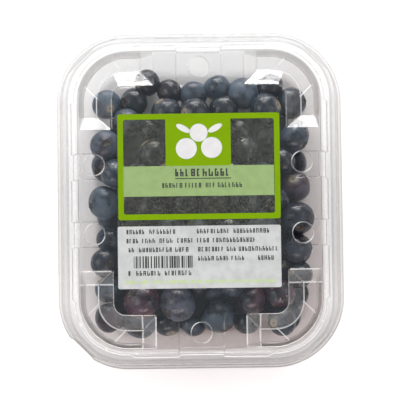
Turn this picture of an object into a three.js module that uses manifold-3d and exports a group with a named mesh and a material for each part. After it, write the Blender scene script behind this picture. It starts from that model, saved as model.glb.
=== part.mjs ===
// A shut punnet of blueberries: a clear tray, a clear press-on lid with six vent holes,
// a film label on the lid, and the heap of berries inside.
// Millimetres, +Z up, origin at the middle of the base. X is the width and Y the length.
import * as THREE from "three";
import { mergeVertices } from "three/addons/utils/BufferGeometryUtils.js";
import Module from "manifold-3d";

const wasm = await Module();
wasm.setup();

// The whole pack
const PACK_WIDTH = 114;
const PACK_LENGTH = 136;
const PACK_HEIGHT = 40;
const CORNER_RADIUS = 27;
const CORNER_STEPS = 8;
const SAME_POINT = 1e-4;
const WALL = 0.6;
const NESTING_GAP = 0.3;

// The middle of the pack's outline: every edge of tray and lid is this oblong grown outwards by a reach
const CORE_X = PACK_WIDTH / 2 - CORNER_RADIUS;
const CORE_Y = PACK_LENGTH / 2 - CORNER_RADIUS;

// The label
const LABEL_WIDTH = 65.4;
const LABEL_LENGTH = 70.4;
const LABEL_CORNER = 1.2;
const LABEL_THICKNESS = 0.3;
const LABEL_GAP = 0.1;
const LABEL_SHIFT_Y = -0.6;

// The lid, from its skirt up to its plateau
const LID_TOP = PACK_HEIGHT - LABEL_THICKNESS - LABEL_GAP;
const SKIRT_FOOT = 27.5;
const RIM_TOP = 31.5;
const SKIRT_REACH = CORNER_RADIUS;
const SHOULDER_REACH = 24.6;
const WALL_FOOT_REACH = 21.4;
const WALL_TOP_REACH = 18.8;

// The four sunk pockets at the lid's corners
const POCKET_DEPTH = 5;
const POCKET_FLOOR = LID_TOP - POCKET_DEPTH;
const POCKET_OUTER_FLOOR_REACH = 16.3;
const POCKET_OUTER_TOP_REACH = 18;
const POCKET_INNER_FLOOR_REACH = 12;
const POCKET_INNER_TOP_REACH = 6.2;
const SIDE_ARM_TOP = 28.4;
const SIDE_ARM_FOOT = 33.7;
const END_ARM_TOP = 18.2;
const END_ARM_FOOT = 23.6;
const CUT_MARGIN = 2;

// The shallow notches in the lid's wall, two on each long side and one at each end
const NOTCH_DEPTH = 0.9;
const SIDE_NOTCH_LENGTH = 10.8;
const END_NOTCH_LENGTH = 18.4;
const SIDE_NOTCH_Y = 13.6;
const NOTCH_FOOT = RIM_TOP + 1.5;

// The vent holes
const VENT_RADIUS = 4.2;
const SIDE_VENT_X = 41.7;
const SIDE_VENT_Y = 14;
const END_VENT_Y = 53.2;
const VENT_STEPS = 20;

// The tray
const TRAY_RIM_TOP = RIM_TOP - WALL - NESTING_GAP;
const TRAY_SKIRT_FOOT = 27.2;
const TRAY_SKIRT_REACH = 26;
const TRAY_SHOULDER_REACH = 23.9;
const TRAY_WALL_TOP_REACH = 20.4;
const TRAY_WALL_FOOT_REACH = 15.6;
const TRAY_BASE_REACH = 13.6;
const TRAY_FOOT_CURVE = 2;

// The berries
const HEAP_SEED = 2712;
const SMALLEST_BERRY = 11.4;
const LARGEST_BERRY = 14.4;
const BERRY_SQUASH = 0.9;
const BERRY_CLOSENESS = 0.91;
const CROWDED_SHARE = 0.75;
const START_SCATTER = 1;
const SHOWN_BERRY_YIELD = 0.1;
const ROW_PITCH = 10.7;
const COLUMN_PITCH = 12.6;
const LOWER_LAYER = 6.5;
const UPPER_LAYER = 17.5;
const UPPER_HALF_WIDTH = 34;
const UPPER_HALF_LENGTH = 36;
const SETTLING_STEPS = 70;
const FALL_PER_STEP = 0.25;
const WALL_CLEARANCE = 0.35;
const SLOPED_WALL_FACTOR = 1.02;
const CORE_HALF_WIDTH = 37;
const CORE_FRONT = -47;
const CORE_BACK = 35;
const CORE_BOTTOM = 4.5;
const CORE_TOP = 15;

// The berries that show round the label: place across, place along and width.
// Those at the back end and a few at the front lie on the floor, and the rest lie on others.
const LOW_SHOWN_BERRIES = [
  [-38.5, 41.6, 12.4], [-27, 42, 12], [-21.2, 50.3, 11.4], [-12.2, 46.1, 11.4], [-0.6, 45.3, 12],
  [9.7, 46.6, 11.8], [17.5, 45.7, 14], [29, 46.6, 12], [38.9, 42.4, 13.4],
  [-14.2, -49.9, 12], [-3.9, -50.3, 11.4], [18.7, -49.4, 12],
];
const HIGH_SHOWN_BERRIES = [
  [-38.5, 22.7, 12.6], [-34.8, 12.4, 11.4], [-38.5, 0.4, 14], [-36.5, -16.1, 11.6],
  [-38.9, -24.3, 12], [-37.3, -35.4, 12], [-38.1, -47.4, 12],
  [40.2, 25.5, 13.4], [35.6, 16.9, 11.4], [39.8, 5.8, 13], [40.2, -7.4, 14],
  [40.2, -20.6, 13.4], [40.6, -29.7, 11.2], [38.5, -37.5, 12], [33.6, -49, 12.4],
  [-24.9, -40.8, 15.4], [-8.9, -40.8, 15.4], [6.8, -45.7, 15], [22, -39.6, 12.6], [32.4, -38.6, 12.4],
];

const CLEAR_PLASTIC = { color: 0xe9edee, roughness: 0.08, metalness: 0, transparent: true, opacity: 0.35 };
const PRINTED_FILM = { color: 0x9cbc4e, roughness: 0.35, metalness: 0 };
const BERRY_SKIN = { color: 0x3c4657, roughness: 0.6, metalness: 0 };

// A closed geometry as a solid that can be joined and cut
function solidOf(geometry) {
  const bare = geometry.clone();
  bare.deleteAttribute("normal");
  bare.deleteAttribute("uv");
  const merged = mergeVertices(bare, SAME_POINT);
  return new wasm.Manifold(
    new wasm.Mesh({
      numProp: 3,
      vertProperties: new Float32Array(merged.attributes.position.array),
      triVerts: new Uint32Array(merged.index.array),
    }),
  );
}

// A solid back as a geometry for a mesh
function geometryOf(solid) {
  const mesh = solid.getMesh();
  const geometry = new THREE.BufferGeometry();
  geometry.setAttribute("position", new THREE.BufferAttribute(mesh.vertProperties, 3));
  geometry.setIndex(new THREE.BufferAttribute(mesh.triVerts, 1));
  geometry.computeVertexNormals();
  return geometry;
}

// A lathe whose four quarters are moved apart to the corners of the core oblong.
// The profile holds [reach, height] pairs, and a reach of 0 stays on the axis.
function oblongLathe(profile) {
  const columns = 4 * (CORNER_STEPS + 1);
  const points = profile.map(([reach, height]) => new THREE.Vector2(reach, height));
  const geometry = new THREE.LatheGeometry(points, columns);
  const position = geometry.attributes.position;
  for (let i = 0; i < position.count; i++) {
    const column = Math.floor(i / points.length) % columns;
    const { x: reach, y: height } = points[i % points.length];
    const quarter = Math.floor(column / (CORNER_STEPS + 1));
    const along = (column % (CORNER_STEPS + 1)) / CORNER_STEPS;
    const angle = ((quarter + along) * Math.PI) / 2;
    const sideX = quarter === 0 || quarter === 3 ? 1 : -1;
    const sideY = quarter < 2 ? 1 : -1;
    const onAxis = reach === 0;
    const x = onAxis ? 0 : sideX * CORE_X + reach * Math.cos(angle);
    const y = onAxis ? 0 : sideY * CORE_Y + reach * Math.sin(angle);
    position.setXYZ(i, x, y, height);
  }
  return solidOf(geometry);
}

// The reach of a sloping wall at a height, given its reach at two heights
function reachAt(height, lowReach, lowHeight, highReach, highHeight) {
  return lowReach + ((highReach - lowReach) * (height - lowHeight)) / (highHeight - lowHeight);
}

// A bar along Y with a trapezoid section that is widest at its foot
function taperedBar(footHalf, topHalf, bottom, top, length) {
  const section = new THREE.Shape([
    new THREE.Vector2(-footHalf, bottom),
    new THREE.Vector2(footHalf, bottom),
    new THREE.Vector2(topHalf, top),
    new THREE.Vector2(-topHalf, top),
  ]);
  const geometry = new THREE.ExtrudeGeometry(section, { depth: length, bevelEnabled: false });
  geometry.translate(0, 0, -length / 2);
  geometry.rotateX(Math.PI / 2);
  return geometry;
}

// The lid's block without its pockets and notches, drawn in by an inset
function lidBlock(inset) {
  return oblongLathe([
    [0, SKIRT_FOOT - inset],
    [SKIRT_REACH - inset, SKIRT_FOOT - inset],
    [SHOULDER_REACH - inset, RIM_TOP - inset],
    [WALL_FOOT_REACH - inset, RIM_TOP - inset],
    [WALL_TOP_REACH - inset, LID_TOP - inset],
    [0, LID_TOP - inset],
  ]);
}

// The space of all four pockets, grown by the inset
function pocketSpace(inset) {
  const floor = POCKET_FLOOR - inset;
  const bottom = floor - CUT_MARGIN;
  const top = LID_TOP + CUT_MARGIN;
  const outer = (height) =>
    reachAt(height, POCKET_OUTER_FLOOR_REACH, POCKET_FLOOR, POCKET_OUTER_TOP_REACH, LID_TOP) + inset;
  const inner = (height) =>
    reachAt(height, POCKET_INNER_FLOOR_REACH, POCKET_FLOOR, POCKET_INNER_TOP_REACH, LID_TOP) - inset;
  const sideArm = (height) => reachAt(height, SIDE_ARM_FOOT, POCKET_FLOOR, SIDE_ARM_TOP, LID_TOP) - inset;
  const endArm = (height) => reachAt(height, END_ARM_FOOT, POCKET_FLOOR, END_ARM_TOP, LID_TOP) - inset;
  const space = oblongLathe([[0, floor], [outer(floor), floor], [outer(top), top], [0, top]]);
  const platform = oblongLathe([[0, bottom], [inner(bottom), bottom], [inner(top), top], [0, top]]);
  const alongY = taperedBar(endArm(bottom), endArm(top), bottom, top, PACK_LENGTH);
  const alongX = taperedBar(sideArm(bottom), sideArm(top), bottom, top, PACK_WIDTH);
  alongX.rotateZ(Math.PI / 2);
  return space.subtract(platform).subtract(solidOf(alongY)).subtract(solidOf(alongX));
}

// One notch on the +X wall, sloping with it, grown by the inset
function notchGeometry(length, wallTop, inset) {
  const depth = NOTCH_DEPTH + inset;
  const deepHalf = length / 2 - NOTCH_DEPTH + inset;
  const plan = new THREE.Shape([
    new THREE.Vector2(-depth, -deepHalf),
    new THREE.Vector2(CUT_MARGIN, -deepHalf - depth - CUT_MARGIN),
    new THREE.Vector2(CUT_MARGIN, deepHalf + depth + CUT_MARGIN),
    new THREE.Vector2(-depth, deepHalf),
  ]);
  const bottom = NOTCH_FOOT - inset;
  const height = LID_TOP + CUT_MARGIN - bottom;
  const geometry = new THREE.ExtrudeGeometry(plan, { depth: height, bevelEnabled: false });
  geometry.translate(0, 0, bottom);
  const lean = (WALL_FOOT_REACH - WALL_TOP_REACH) / (LID_TOP - RIM_TOP);
  const position = geometry.attributes.position;
  for (let i = 0; i < position.count; i++) {
    position.setX(i, wallTop + position.getX(i) + (LID_TOP - position.getZ(i)) * lean);
  }
  return geometry;
}

// All six notches
function notches(inset) {
  let all = null;
  const add = (geometry) => {
    const one = solidOf(geometry);
    all = all ? all.add(one) : one;
  };
  for (const turn of [0, Math.PI]) {
    for (const side of [-1, 1]) {
      const sideNotch = notchGeometry(SIDE_NOTCH_LENGTH, CORE_X + WALL_TOP_REACH, inset);
      add(sideNotch.translate(0, side * SIDE_NOTCH_Y, 0).rotateZ(turn));
    }
    const endNotch = notchGeometry(END_NOTCH_LENGTH, CORE_Y + WALL_TOP_REACH, inset);
    add(endNotch.rotateZ(turn + Math.PI / 2));
  }
  return all;
}

// The six vent holes as upright cylinders through the plateau
function ventHoles() {
  const places = [[0, -END_VENT_Y], [0, END_VENT_Y]];
  for (const x of [-SIDE_VENT_X, SIDE_VENT_X]) {
    for (const y of [-SIDE_VENT_Y, SIDE_VENT_Y]) places.push([x, y]);
  }
  return places.map(([x, y]) => {
    const hole = new THREE.CylinderGeometry(VENT_RADIUS, VENT_RADIUS, 2 * CUT_MARGIN, VENT_STEPS);
    hole.rotateX(Math.PI / 2);
    hole.translate(x, y, LID_TOP);
    return solidOf(hole);
  });
}

// The lid: a thin shell with pockets, notches and vents
function makeLid() {
  const form = (inset) => lidBlock(inset).subtract(pocketSpace(inset)).subtract(notches(inset));
  let shell = form(0).subtract(form(WALL));
  for (const hole of ventHoles()) shell = shell.subtract(hole);
  return geometryOf(shell);
}

// The tray: one thin wall from the flat base up to the rim that the lid grips
function makeTray() {
  const slope = (TRAY_WALL_TOP_REACH - TRAY_WALL_FOOT_REACH) / (TRAY_RIM_TOP - TRAY_FOOT_CURVE);
  const rimUnderside = TRAY_RIM_TOP - WALL;
  const tray = oblongLathe([
    [0, 0],
    [TRAY_BASE_REACH, 0],
    [TRAY_WALL_FOOT_REACH, TRAY_FOOT_CURVE],
    [TRAY_WALL_TOP_REACH - slope * WALL, rimUnderside],
    [TRAY_SHOULDER_REACH - WALL / 2, rimUnderside],
    [TRAY_SKIRT_REACH - WALL, TRAY_SKIRT_FOOT],
    [TRAY_SKIRT_REACH, TRAY_SKIRT_FOOT],
    [TRAY_SHOULDER_REACH, TRAY_RIM_TOP],
    [TRAY_WALL_TOP_REACH - WALL, TRAY_RIM_TOP],
    [TRAY_WALL_FOOT_REACH - WALL, TRAY_FOOT_CURVE + WALL / 2],
    [TRAY_BASE_REACH - WALL / 2, WALL],
    [0, WALL],
  ]);
  return geometryOf(tray);
}

// The label: a thin film with small round corners
function makeLabel() {
  const halfX = LABEL_WIDTH / 2;
  const halfY = LABEL_LENGTH / 2;
  const outline = new THREE.Shape();
  outline.moveTo(halfX, halfY - LABEL_CORNER);
  outline.absarc(halfX - LABEL_CORNER, halfY - LABEL_CORNER, LABEL_CORNER, 0, Math.PI / 2);
  outline.absarc(-halfX + LABEL_CORNER, halfY - LABEL_CORNER, LABEL_CORNER, Math.PI / 2, Math.PI);
  outline.absarc(-halfX + LABEL_CORNER, -halfY + LABEL_CORNER, LABEL_CORNER, Math.PI, 1.5 * Math.PI);
  outline.absarc(halfX - LABEL_CORNER, -halfY + LABEL_CORNER, LABEL_CORNER, 1.5 * Math.PI, 2 * Math.PI);
  const options = { depth: LABEL_THICKNESS, bevelEnabled: false, curveSegments: 3 };
  return new THREE.ExtrudeGeometry(outline, options);
}

// A repeatable run of numbers between 0 and 1
function numbersFrom(seed) {
  const multiplier = 16807;
  const modulus = 2147483647;
  let state = seed;
  return () => {
    state = (state * multiplier) % modulus;
    return state / modulus;
  };
}

// Where the berries start: the shown ones first, then a lower layer and the middle of an upper one
function startBerries(next) {
  const shownAt = (z) => ([x, y, across]) => ({ x, y, z, radius: across / 2, shown: true });
  const berries = [
    ...LOW_SHOWN_BERRIES.map(shownAt(LOWER_LAYER)),
    ...HIGH_SHOWN_BERRIES.map(shownAt(UPPER_LAYER)),
  ];
  const layers = [
    [LOWER_LAYER, CORE_X + TRAY_WALL_FOOT_REACH - LOWER_LAYER, CORE_Y + TRAY_WALL_FOOT_REACH - LOWER_LAYER],
    [UPPER_LAYER, UPPER_HALF_WIDTH, UPPER_HALF_LENGTH],
  ];
  const scatter = () => START_SCATTER * (next() - 0.5);
  layers.forEach(([z, halfX, halfY], layer) => {
    const rows = Math.floor((2 * halfY) / ROW_PITCH) + 1;
    for (let row = 0; row < rows; row++) {
      const columns = Math.floor((2 * halfX) / COLUMN_PITCH) + 1 - ((row + layer) % 2);
      for (let column = 0; column < columns; column++) {
        const x = (column - (columns - 1) / 2) * COLUMN_PITCH + scatter();
        const y = (row - (rows - 1) / 2) * ROW_PITCH + scatter();
        const across = SMALLEST_BERRY + (LARGEST_BERRY - SMALLEST_BERRY) * next();
        const berry = { x, y, z, radius: across / 2, shown: false, lower: layer === 0 };
        if (!crowded(berry, berries)) berries.push(berry);
      }
    }
  });
  return berries;
}

// Whether a shown berry already fills most of a new berry's place
function crowded(berry, others) {
  return others.some((other) => {
    const dx = other.x - berry.x;
    const dy = other.y - berry.y;
    const dz = other.z - berry.z;
    const room = CROWDED_SHARE * (other.radius + berry.radius);
    return other.shown && dx * dx + dy * dy + dz * dz < room * room;
  });
}

// Two berries that overlap move apart, and a shown one mostly up or down
function partPair(a, b) {
  const dx = b.x - a.x;
  const dy = b.y - a.y;
  const dz = b.z - a.z;
  const apart = Math.sqrt(dx * dx + dy * dy + dz * dz);
  const touching = BERRY_CLOSENESS * (a.radius + b.radius);
  if (apart >= touching) return;
  const push = (touching - apart) / apart / 2;
  const yieldA = a.shown ? SHOWN_BERRY_YIELD : 1;
  const yieldB = b.shown ? SHOWN_BERRY_YIELD : 1;
  a.x -= yieldA * push * dx;
  a.y -= yieldA * push * dy;
  b.x += yieldB * push * dx;
  b.y += yieldB * push * dy;
  a.z -= push * dz;
  b.z += push * dz;
}

// A berry stays inside the tray's sloping wall and on its floor
function keepInTray(berry) {
  berry.z = Math.max(berry.z, WALL + WALL_CLEARANCE + berry.radius);
  const slope = (TRAY_WALL_TOP_REACH - TRAY_WALL_FOOT_REACH) / (TRAY_RIM_TOP - TRAY_FOOT_CURVE);
  const wall = TRAY_WALL_FOOT_REACH - WALL + slope * (berry.z - TRAY_FOOT_CURVE);
  const room = wall - WALL_CLEARANCE - berry.radius * SLOPED_WALL_FACTOR;
  const pastX = Math.abs(berry.x) - CORE_X;
  const pastY = Math.abs(berry.y) - CORE_Y;
  const sideX = berry.x < 0 ? -1 : 1;
  const sideY = berry.y < 0 ? -1 : 1;
  if (pastX > 0 && pastY > 0) {
    const past = Math.sqrt(pastX * pastX + pastY * pastY);
    if (past > room) {
      berry.x = sideX * (CORE_X + (pastX * room) / past);
      berry.y = sideY * (CORE_Y + (pastY * room) / past);
    }
    return;
  }
  berry.x = sideX * Math.min(Math.abs(berry.x), CORE_X + room);
  berry.y = sideY * Math.min(Math.abs(berry.y), CORE_Y + room);
}

// The berries sink a little at each step and part where they overlap
function settledBerries() {
  const next = numbersFrom(HEAP_SEED);
  const berries = startBerries(next);
  for (let step = 0; step < SETTLING_STEPS; step++) {
    for (const berry of berries) berry.z -= FALL_PER_STEP;
    for (let i = 0; i < berries.length; i++) {
      for (let j = i + 1; j < berries.length; j++) partPair(berries[i], berries[j]);
    }
    berries.forEach(keepInTray);
  }
  for (const berry of berries) {
    berry.axis = new THREE.Vector3(next() - 0.5, next() - 0.5, next() - 0.5).normalize();
  }
  return berries;
}

// One berry: a ball flattened along its own axis, with fewer sides in the lower layer
function berrySolid(berry) {
  const ball = berry.lower
    ? new THREE.DodecahedronGeometry(berry.radius)
    : new THREE.IcosahedronGeometry(berry.radius, 1);
  ball.scale(1, 1, BERRY_SQUASH);
  const turn = new THREE.Quaternion().setFromUnitVectors(new THREE.Vector3(0, 0, 1), berry.axis);
  ball.applyQuaternion(turn);
  ball.translate(berry.x, berry.y, berry.z);
  return solidOf(ball);
}

// The heap: a core block with every berry joined on, and any loose scrap dropped
function makeBerries() {
  const core = new THREE.BoxGeometry(2 * CORE_HALF_WIDTH, CORE_BACK - CORE_FRONT, CORE_TOP - CORE_BOTTOM);
  core.translate(0, (CORE_BACK + CORE_FRONT) / 2, (CORE_TOP + CORE_BOTTOM) / 2);
  let heap = solidOf(core);
  for (const berry of settledBerries()) heap = heap.add(berrySolid(berry));
  const bodies = heap.decompose();
  const outer = bodies.filter((body) => body.volume() > 0);
  const largest = outer.reduce((best, body) => (body.volume() > best.volume() ? body : best));
  return geometryOf(largest);
}

function namedMesh(name, geometry, look) {
  const mesh = new THREE.Mesh(geometry, new THREE.MeshStandardMaterial(look));
  mesh.name = name;
  return mesh;
}

const punnet = new THREE.Group();
const label = namedMesh("label", makeLabel(), PRINTED_FILM);
label.position.set(0, LABEL_SHIFT_Y, LID_TOP + LABEL_GAP);
punnet.add(namedMesh("tray", makeTray(), CLEAR_PLASTIC));
punnet.add(namedMesh("lid", makeLid(), CLEAR_PLASTIC));
punnet.add(label);
punnet.add(namedMesh("berries", makeBerries(), BERRY_SKIN));

export default punnet;
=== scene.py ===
"""A shut, clear punnet of blueberries with a vented lid and a film label, in a plain studio."""

import math

import bmesh
import bpy
from mathutils import Matrix, Vector, noise


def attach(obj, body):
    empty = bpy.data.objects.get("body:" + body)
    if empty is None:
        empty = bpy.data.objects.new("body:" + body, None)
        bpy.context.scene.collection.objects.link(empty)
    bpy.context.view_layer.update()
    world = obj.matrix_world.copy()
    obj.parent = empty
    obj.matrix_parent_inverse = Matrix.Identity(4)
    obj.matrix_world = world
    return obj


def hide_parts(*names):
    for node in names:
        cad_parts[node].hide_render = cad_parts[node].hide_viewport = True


bl_info = {
    "name": "Punnet of blueberries",
    "version": (1, 0, 0),
    "blender": (4, 5, 0),
    "location": "3D View > Sidebar > Punnet",
    "description": "Builds a clear punnet of blueberries, its label and a plain studio",
    "category": "Object",
}

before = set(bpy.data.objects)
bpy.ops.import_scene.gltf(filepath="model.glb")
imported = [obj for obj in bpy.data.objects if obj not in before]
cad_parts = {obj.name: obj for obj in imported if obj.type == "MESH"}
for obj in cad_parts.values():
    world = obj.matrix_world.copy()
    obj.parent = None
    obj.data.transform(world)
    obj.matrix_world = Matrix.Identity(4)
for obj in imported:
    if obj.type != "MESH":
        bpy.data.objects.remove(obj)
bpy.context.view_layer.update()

# All the sizes below are in millimetres and scaled to metres when a mesh is placed
MM = 0.001

# The pack runs round a core oblong; a ring at reach r lies that far outside it
CORE_X = 30.0
CORE_Y = 41.0
CORNER_STEPS = 32
EASE_STEPS = 2

# The lid's section, from the foot of its skirt to the raised middle
SKIRT_FOOT = 27.5
SKIRT_REACH = 27.0
LIP = 0.55
LIP_RISE = 0.15
SIDE_FLARE = 0.8
SHOULDER_FLARE_SHARE = 0.6
SHOULDER_REACH = 25.0
RIM_TOP = 31.5
WALL_FOOT_REACH = 22.0
WALL_TOP_REACH = 18.8
LID_TOP = 39.6
PLATEAU_REACH = 4.2

# The sunk pocket in each corner of the lid, how wide its walls stay where it runs out, and the flat
# stripe across its floor, with a painted white glint along the stripe's edges
POCKET_DEPTH = 5.0
POCKET_OUTER_TOP = 18.0
POCKET_OUTER_FLOOR = 16.7
POCKET_INNER_FLOOR = 11.1
POCKET_INNER_TOP = 4.9
POCKET_WALL_KEPT = 0.3
STRIPE_HALF_WIDTH = 7.5
STRIPE_DEPTH = 0.5
STRIPE_EDGE = 0.15
STRIPE_EDGE_PAINTED_GLINT = 0.75

# How far from the middle of a long side or an end the ramps of the pockets start and finish, how far
# along the notches start and finish, and where the walls set in towards the corners
SIDE_ARM = (28.4, 33.7)
END_ARM = (18.2, 23.6)
SIDE_NOTCH_EDGES = (8.3, 8.8, 18.4, 18.9)
END_NOTCH_EDGES = (8.7, 9.2)
SIDE_INSET_FROM = (39.4, 40.8)
END_INSET_FROM = (27.2, 28.6)
RAMP_EASE = 0.3
NOTCH_EASE = 0.1

# Notches in the lid's wall
NOTCH_DEPTH = 0.9
NOTCH_FOOT = 33.0
RECESS_DEPTH = 0.25
RECESS_SLOPE = 4.0

# How the corners set in from a true round; the skirt's fold runs straight across each corner
CORNER_FLATNESS = 0.6
WALL_CORNER_INSET = 1.2
PLATEAU_CORNER_INSET = 0.6
SHOULDER_CHORD = 24.1

# The pull tab in the front left corner, where the skirt's foot is straight too
TAB_CHORD = 25.9
TAB_FROM = 32.0
TAB_TO = 58.0

# Painted shade and painted white glints on the lid's folds, from the skirt inwards: how much painted shade
# and how much painted glint at the back, the same at the front, and where round the pack the fold is
LID_FOLDS = (
    (0.15, 0.0, 0.30, 0.0, "all"),
    (0.30, 0.0, 0.35, 0.5, "all"),
    (0.75, 0.1, 0.45, 0.9, "all"),
    (0.05, 0.0, 0.05, 0.0, "notch"),
    (0.05, 0.0, 0.05, 0.0, "notch"),
    (0.62, 0.0, 0.45, 0.75, "all"),
    (0.45, 0.0, 0.55, 0.8, "pocket"),
    (0.40, 0.2, 0.45, 0.3, "pocket"),
    (0.10, 0.5, 0.20, 0.7, "pocket"),
    (0.30, 0.2, 0.50, 0.5, "pocket"),
)

# The same painted shade and painted glint for the flat runs that come before each fold
LID_RUNS = (
    (0.35, 0.0, 0.60, 0.0, "all"),
    (0.18, 0.0, 0.30, 0.0, "all"),
    (0.0, 0.0, 0.14, 0.0, "all"),
    (0.0, 0.0, 0.0, 0.0, "all"),
    (0.0, 0.0, 0.0, 0.0, "all"),
    (0.0, 0.0, 0.0, 0.0, "all"),
    (0.0, 0.0, 0.0, 0.0, "all"),
    (0.28, 0.0, 0.50, 0.0, "pocket"),
    (0.0, 0.0, 0.0, 0.0, "all"),
    (0.0, 0.0, 0.05, 0.07, "pocket"),
)

# Painted shade on the edges of the notches, painted shade and painted glints on the creases at the head and
# foot of each ramp, and a faint painted glint on the front ramps
NOTCH_EDGE_PAINTED_SHADE = 0.28
CREASE_PAINTED_SHADE = 0.16
CREASE_PAINTED_GLINT = 0.45
RAMP_PAINTED_GLINT = 0.06

# Painted shade: the light that passes one face of the sheet where the mesh marks a fold or a run as shaded
PAINTED_SHADE_TINT = (0.38, 0.365, 0.36)

# Colour of the sky straight overhead, which the flat of the lid mirrors towards the camera, and how high
# in the sky it starts and is whole
OVERHEAD_TINT = (0.42, 0.47, 0.51)
OVERHEAD_FROM = 0.80
OVERHEAD_WHOLE = 0.97

# Painted shade on the light that passes one face of the tray below its rim, at the back left and at the
# front right; where the one turns into the other, and between which heights the sheet turns clear, all in
# metres
BELOW_RIM_SHADE_TINT = (0.888, 0.883, 0.880)
DEEP_BELOW_RIM_SHADE_TINT = (0.805, 0.776, 0.768)
BELOW_RIM_SHADE_ACROSS = (-0.06, 0.09)
BELOW_RIM_SHADE_TO_CLEAR = (0.026, 0.029)

# How each clear sheet looks: its milky haze, its waviness, the share of light that it mirrors face on,
# and how much more it mirrors edge on
LID_LOOK = {"haze": 0.0, "waviness": 0.05, "mirrored": 0.038, "edge_mirrored": 0.50}
TRAY_LOOK = {"haze": 0.004, "waviness": 0.05, "mirrored": 0.030, "edge_mirrored": 0.08}
FILM_LOOK = {"haze": 0.017, "waviness": 0.0, "mirrored": 0.004, "edge_mirrored": 0.9}
FILM_TINT = (0.88, 0.88, 0.81)
FILM_EDGE_TINT = (0.8, 0.8, 0.8)
FILM_ROUGHNESS = 0.12
# White of the haze, which also carries the painted white glints on the marked folds, how much painted glint
# a mark gives, and the roughness of both
HAZE_AND_GLINT_WHITE = (0.9, 0.92, 0.92)
PAINTED_GLINT_SHARE = 0.6
HAZE_AND_GLINT_ROUGHNESS = 0.6
CLOUD_LEAST = 0.3
CLOUD_MOST = 2.2
WAVES_PER_METRE = 90.0
WAVE_HEIGHT = 0.002
CLOUDS_PER_METRE = 2200.0

# Vent holes through the lid, and the section of the bead round each, as (out, up) from the hole's edge
VENT_RADIUS = 4.0
VENT_SIDES = 48
VENT_BEAD = ((0.0, -0.25), (0.05, 0.08), (0.28, 0.10), (0.42, -0.10))
# Painted shade all round each bead, a painted white rim all round, and painted glints on two opposite sides
BEAD_PAINTED_SHADE = 0.20
BEAD_PAINTED_HIGHLIGHT = 0.15
BEAD_PAINTED_GLINT = 0.55
VENTS = [(0, -53.2), (0, 53.2), (-42.3, -13.6), (-42.3, 14.2), (41.0, -13.8), (41.0, 14.6)]

# The tray's section, and the painted shade on its skirt, its fold and its flange at the back and at the
# front
TRAY_SKIRT_FOOT = 27.2
TRAY_SKIRT_REACH = 25.6
TRAY_SHOULDER_REACH = 23.5
TRAY_RIM_UNDERSIDE = 30.1
TRAY_WALL_TOP_REACH = 20.4
TRAY_WALL_FOOT_REACH = 15.6
TRAY_BASE_REACH = 13.6
TRAY_FOOT_CURVE = 2.0
TRAY_TAB_CHORD = 25.2
TRAY_SHOULDER_CHORD = 23.1
TRAY_PANEL_FROM = 9.0
TRAY_PANEL_REACH = 8.0
TRAY_PANEL_RISE = 0.8
TRAY_MIDDLE_REACH = 6.0
TRAY_SKIRT_PAINTED_SHADE = (0.14, 0.24)
TRAY_FOLD_PAINTED_SHADE = 0.3
TRAY_FLANGE_PAINTED_SHADE = (0.0, 0.10)

# The rule that heaps the berries, the same as the one behind the solid that they replace
HEAP_SEED = 2712
SMALLEST_BERRY = 11.4
LARGEST_BERRY = 14.4
BERRY_SQUASH = 0.9
BERRY_CLOSENESS = 0.91
CROWDED_SHARE = 0.75
SHOWN_BERRY_YIELD = 0.1
ROW_PITCH = 10.7
COLUMN_PITCH = 12.6
GRID_SCATTER = 0.5
LOWER_LAYER = 6.5
UPPER_LAYER = 17.5
UPPER_HALF_WIDTH = 34.0
UPPER_HALF_LENGTH = 36.0
SETTLING_STEPS = 70
FALL_PER_STEP = 0.25
FRAME_WALL = 0.6
WALL_CLEARANCE = 0.35
BERRY_BULGE = 1.02
FRAME_WALL_FOOT = 15.6
FRAME_WALL_TOP = 20.4
FRAME_RIM_TOP = 30.6
FRAME_FOOT_CURVE = 2.0

LOW_SHOWN_BERRIES = [
    (-38.5, 41.6, 12.4),
    (-27, 42, 12),
    (-21.2, 50.3, 11.4),
    (-12.2, 46.1, 11.4),
    (-0.6, 45.3, 12),
    (9.7, 46.6, 11.8),
    (17.5, 45.7, 14),
    (29, 46.6, 12),
    (38.9, 42.4, 13.4),
    (-14.2, -49.9, 12),
    (-3.9, -50.3, 11.4),
    (18.7, -49.4, 12),
]
HIGH_SHOWN_BERRIES = [
    (-38.5, 22.7, 12.6),
    (-34.8, 12.4, 11.4),
    (-38.5, 0.4, 14),
    (-36.5, -16.1, 11.6),
    (-38.9, -24.3, 12),
    (-37.3, -35.4, 12),
    (-38.1, -47.4, 12),
    (40.2, 25.5, 13.4),
    (35.6, 16.9, 11.4),
    (39.8, 5.8, 13),
    (40.2, -7.4, 14),
    (40.2, -20.6, 13.4),
    (40.6, -29.7, 11.2),
    (38.5, -37.5, 12),
    (33.6, -49, 12.4),
    (-24.9, -40.8, 15.4),
    (-8.9, -40.8, 15.4),
    (6.8, -45.7, 15),
    (22, -39.6, 12.6),
    (32.4, -38.6, 12.4),
]

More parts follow.
